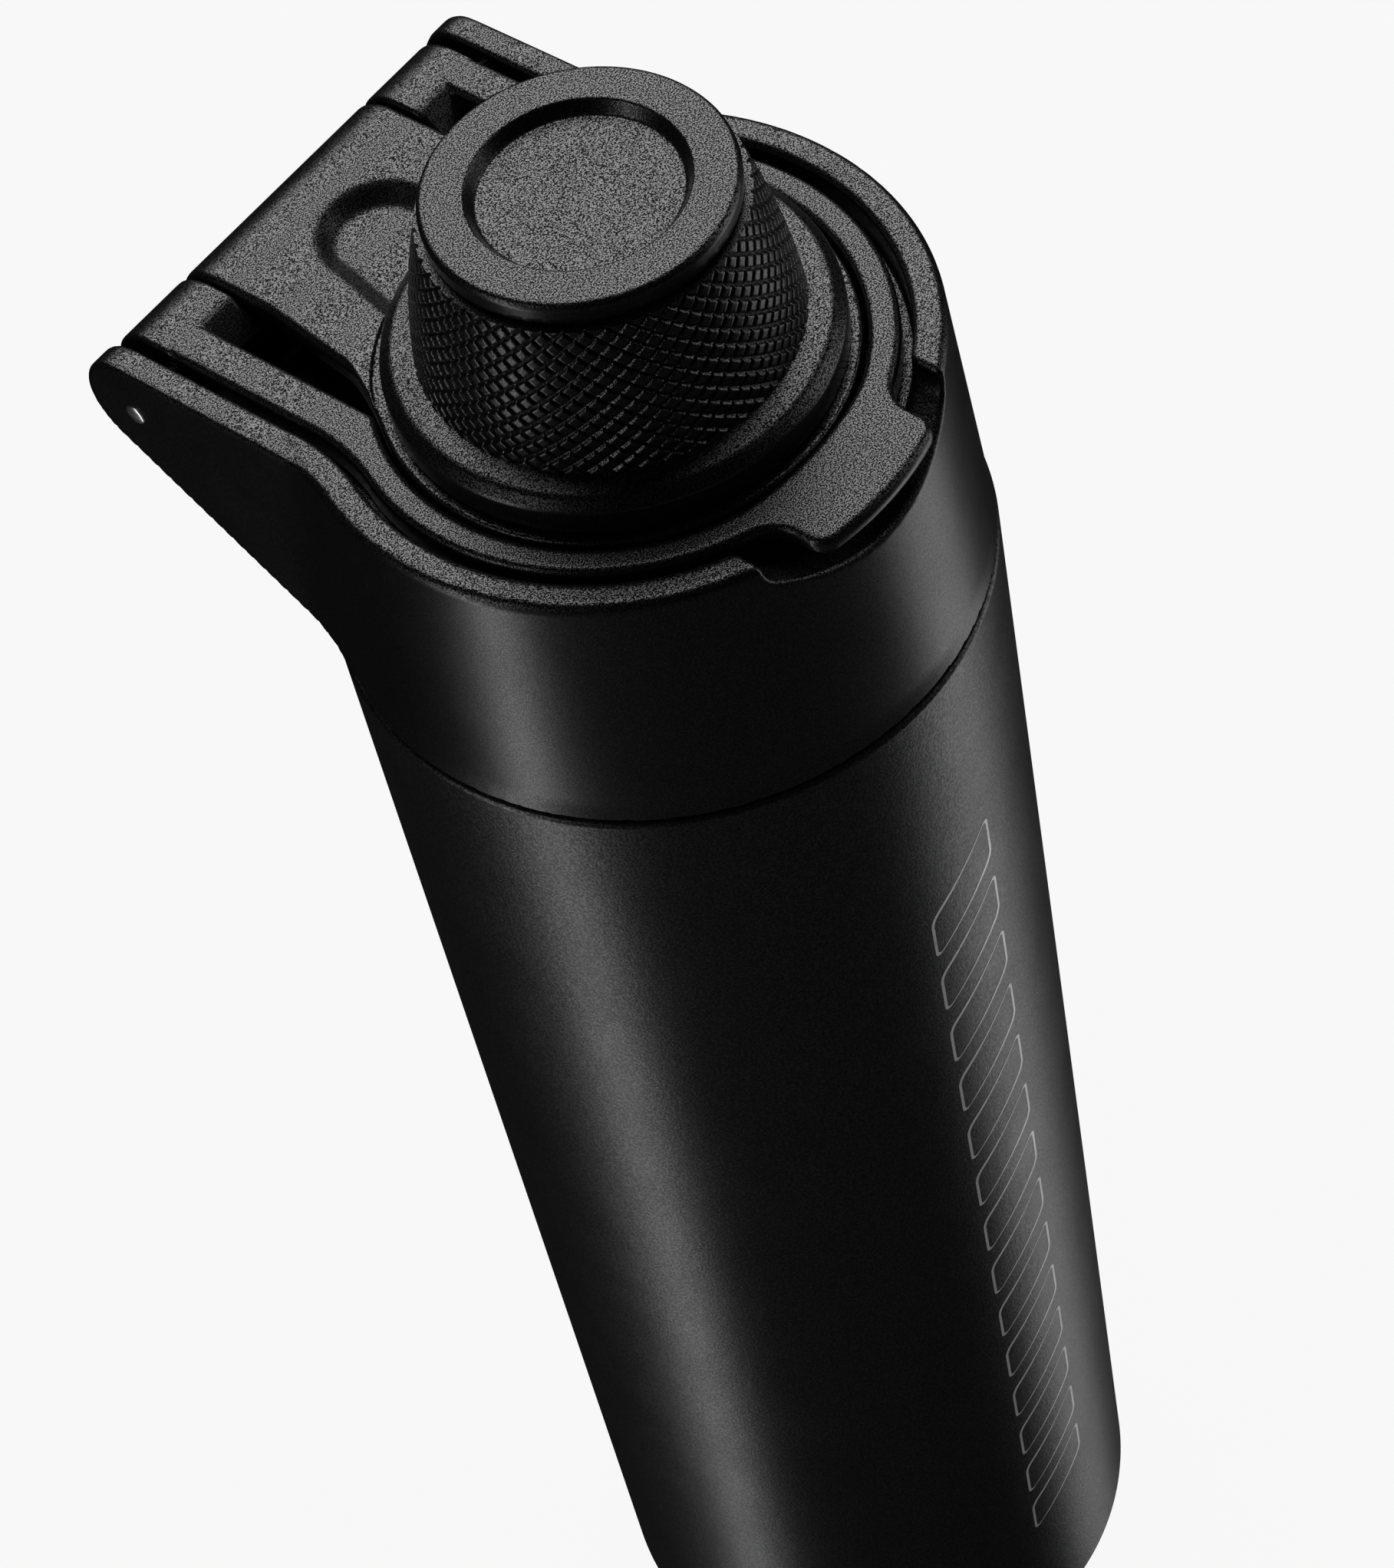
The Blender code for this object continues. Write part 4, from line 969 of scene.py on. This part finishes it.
grip_low, grip_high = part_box("cap_grip")
FLANGE_RADIUS = grip_high.x
FLANGE_SHOULDER = RIM + 3.0 * MM
CROWN_EDGE = 1.25 * MM
CROWN_FALL = 0.45 * MM
CROWN_TOP = RIM + 4.4 * MM
GRIP_FOOT = 20.37 * MM
GRIP_HEAD = 16.95 * MM
GRIP_BULGE = 0.55
GRIP_BORE = 13.2 * MM
KNURL_LOW = CROWN_TOP
KNURL_HIGH = grip_high.z
KNURL_ROUND = 50
KNURL_ROWS = 18
KNURL_DEPTH = 0.32 * MM
KNURL_GROOVE = 0.16


def barrel_radius(z):
    """Radius over the diamonds."""
    drop = (KNURL_HIGH - z) / (KNURL_HIGH - KNURL_LOW)
    return GRIP_HEAD + (GRIP_FOOT - GRIP_HEAD) * ((1 + GRIP_BULGE) * drop - GRIP_BULGE * drop * drop)


def knurled_barrel():
    """Points and faces of the diamonds, each with a flat top and stepped sides down to its grooves."""
    row_height = (KNURL_HIGH - KNURL_LOW) / KNURL_ROWS
    levels = [(-0.5, 1.0), (-0.5 + KNURL_GROOVE * 0.45, 0.75), (-0.5 + KNURL_GROOVE * 0.9, 0.12),
              (-0.5 + KNURL_GROOVE * 1.15, 0.0), (-0.16, 0.0), (0.16, 0.0)]
    levels += [(-place, depth) for place, depth in levels[:4][::-1]]
    count = len(levels)
    points, faces = [], []
    for row in range(KNURL_ROWS + 1):
        for column in range(KNURL_ROUND):
            centre_turn = column + 0.5 * (row % 2)
            centre_z = KNURL_LOW + row * row_height
            first = len(points)
            for a, depth_a in levels:
                for b, depth_b in levels:
                    turn = 2 * math.pi * (centre_turn + (a - b) / 2) / KNURL_ROUND
                    z = min(max(centre_z + (a + b) * row_height, KNURL_LOW), KNURL_HIGH)
                    r = barrel_radius(z) - KNURL_DEPTH * max(depth_a, depth_b)
                    points.append((r * math.cos(turn), r * math.sin(turn), z))
            for i in range(count - 1):
                for j in range(count - 1):
                    here = first + i * count + j
                    faces.append((here, here + count, here + count + 1, here + 1))
    return points, faces


grip_body = turned_piece("grip_body", rounded([
    (GRIP_BORE, KNURL_HIGH, 0),
    (GRIP_HEAD - KNURL_DEPTH, KNURL_HIGH, 0),
    (GRIP_HEAD - 2 * KNURL_DEPTH, KNURL_HIGH - 0.2 * MM, 0),
    (GRIP_FOOT - 2 * KNURL_DEPTH, KNURL_LOW + 0.05 * MM, 0.1 * MM),
    (FLANGE_RADIUS - CROWN_EDGE, CROWN_TOP - CROWN_FALL, 1.6 * MM),
    (FLANGE_RADIUS, FLANGE_SHOULDER - 0.2 * MM, 0.8 * MM),
    (FLANGE_RADIUS, grip_low.z, 0.25 * MM),
    (ARM_BORE, grip_low.z, 0.2 * MM),
    (GRIP_FOOT - 2.5 * MM, CROWN_TOP, 1.0 * MM),
    (GRIP_BORE, KNURL_HIGH - 4.3 * MM, 0.5 * MM),
    (GRIP_BORE, KNURL_HIGH, 0),
]))
knurl_points, knurl_faces = knurled_barrel()
knurl = grid_mesh("knurl", knurl_points, knurl_faces)
grip = joined("diamond_grip", [grip_body, knurl])
grip.data.materials.append(lid_plastic)
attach(grip, "cap")
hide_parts("cap_grip")

# ---- Cap disc
# A disc moulded in the same plastic, with a shallow round dish in its top.
# Its spigot snaps in the bore of the grip.

disc_low, disc_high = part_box("cap_disc")
DISC_FOOT = KNURL_HIGH + 0.3 * MM
DISC_TOP = 16.3 * MM
DISC_UNDER = 16.1 * MM
DISH_RADIUS = 11.47 * MM
DISH_DEPTH = 1.5 * MM
SPIGOT_RADIUS = GRIP_BORE - 0.35 * MM
disc = turned_piece("dished_cap_disc", rounded([
    (0, disc_high.z - DISH_DEPTH, 0),
    (DISH_RADIUS - 0.9 * MM, disc_high.z - DISH_DEPTH, 0.5 * MM),
    (DISH_RADIUS, disc_high.z, 0.45 * MM),
    (DISC_TOP, disc_high.z, 0.75 * MM),
    (DISC_UNDER, DISC_FOOT, 0.2 * MM),
    (SPIGOT_RADIUS, DISC_FOOT, 0.1 * MM),
    (SPIGOT_RADIUS, disc_low.z, 0.3 * MM),
    (0, disc_low.z, 0),
]))
disc.data.materials.append(lid_plastic)
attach(disc, "cap")
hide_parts("cap_disc")

# ---- Cap skirt, seal and retainer
# Inside the knob: an inverted cup that goes over the spout with two lugs, a silicone disc in its roof,
# and a ring snapped on the skirt below the arm, which holds the cap in the arm.

skirt_low, skirt_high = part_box("cap_skirt")
SKIRT_OUTER = skirt_high.x
RETAINER_INNER = SKIRT_OUTER + 0.3 * MM
SKIRT_INNER = SKIRT_OUTER - 1.5 * MM
SKIRT_ROOF = 1.5 * MM
SKIRT_LUG_REACH = 2.2 * MM
skirt_cup = turned_piece("skirt_cup", rounded([
    (0, skirt_high.z, 0),
    (SKIRT_OUTER, skirt_high.z, 0.5 * MM),
    (SKIRT_OUTER, skirt_low.z, 0.35 * MM),
    (SKIRT_INNER, skirt_low.z, 0.35 * MM),
    (SKIRT_INNER, skirt_high.z - SKIRT_ROOF, 0.6 * MM),
    (0, skirt_high.z - SKIRT_ROOF, 0),
]))
SKIRT_LUG_TOP = SPOUT_LUG_TOP - LUG_HEIGHT - 0.5 * MM
skirt_lugs = [lug_piece("skirt_lug", -(SKIRT_INNER + LUG_ROOT), -(SKIRT_INNER - SKIRT_LUG_REACH),
                        SKIRT_LUG_TOP - LUG_HEIGHT, SKIRT_LUG_TOP, middle) for middle in (90, 270)]
skirt = joined("cap_skirt_cup", [skirt_cup, *skirt_lugs])
skirt.data.materials.append(smooth_plastic)
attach(skirt, "cap")
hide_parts("cap_skirt")

seal_low, seal_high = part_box("cap_seal")
seal = turned_piece("cap_seal_disc", rounded([
    (0, seal_high.z, 0),
    (seal_high.x, seal_high.z, 0.3 * MM),
    (seal_high.x, seal_low.z, 0.5 * MM),
    (SPOUT_RADIUS + 0.8 * MM, seal_low.z, 0.2 * MM),
    (SPOUT_RADIUS + 0.5 * MM, seal_low.z + 0.4 * MM, 0.2 * MM),
    (SPOUT_BORE, seal_low.z + 0.4 * MM, 0.2 * MM),
    (SPOUT_BORE - 0.4 * MM, seal_low.z, 0.2 * MM),
    (0, seal_low.z, 0),
]))
seal.data.materials.append(silicone)
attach(seal, "cap")
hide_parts("cap_seal")

ring_low, ring_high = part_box("cap_retainer")
retainer = turned_piece("cap_retainer_ring", rounded([
    (RETAINER_INNER, ring_high.z, 0),
    (ring_high.x, ring_high.z, 0.2 * MM),
    (ring_high.x, ring_low.z, 0.4 * MM),
    (RETAINER_INNER, ring_low.z, 0.2 * MM),
    (RETAINER_INNER, ring_high.z, 0),
]))
retainer.data.materials.append(smooth_plastic)
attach(retainer, "cap")
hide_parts("cap_retainer")
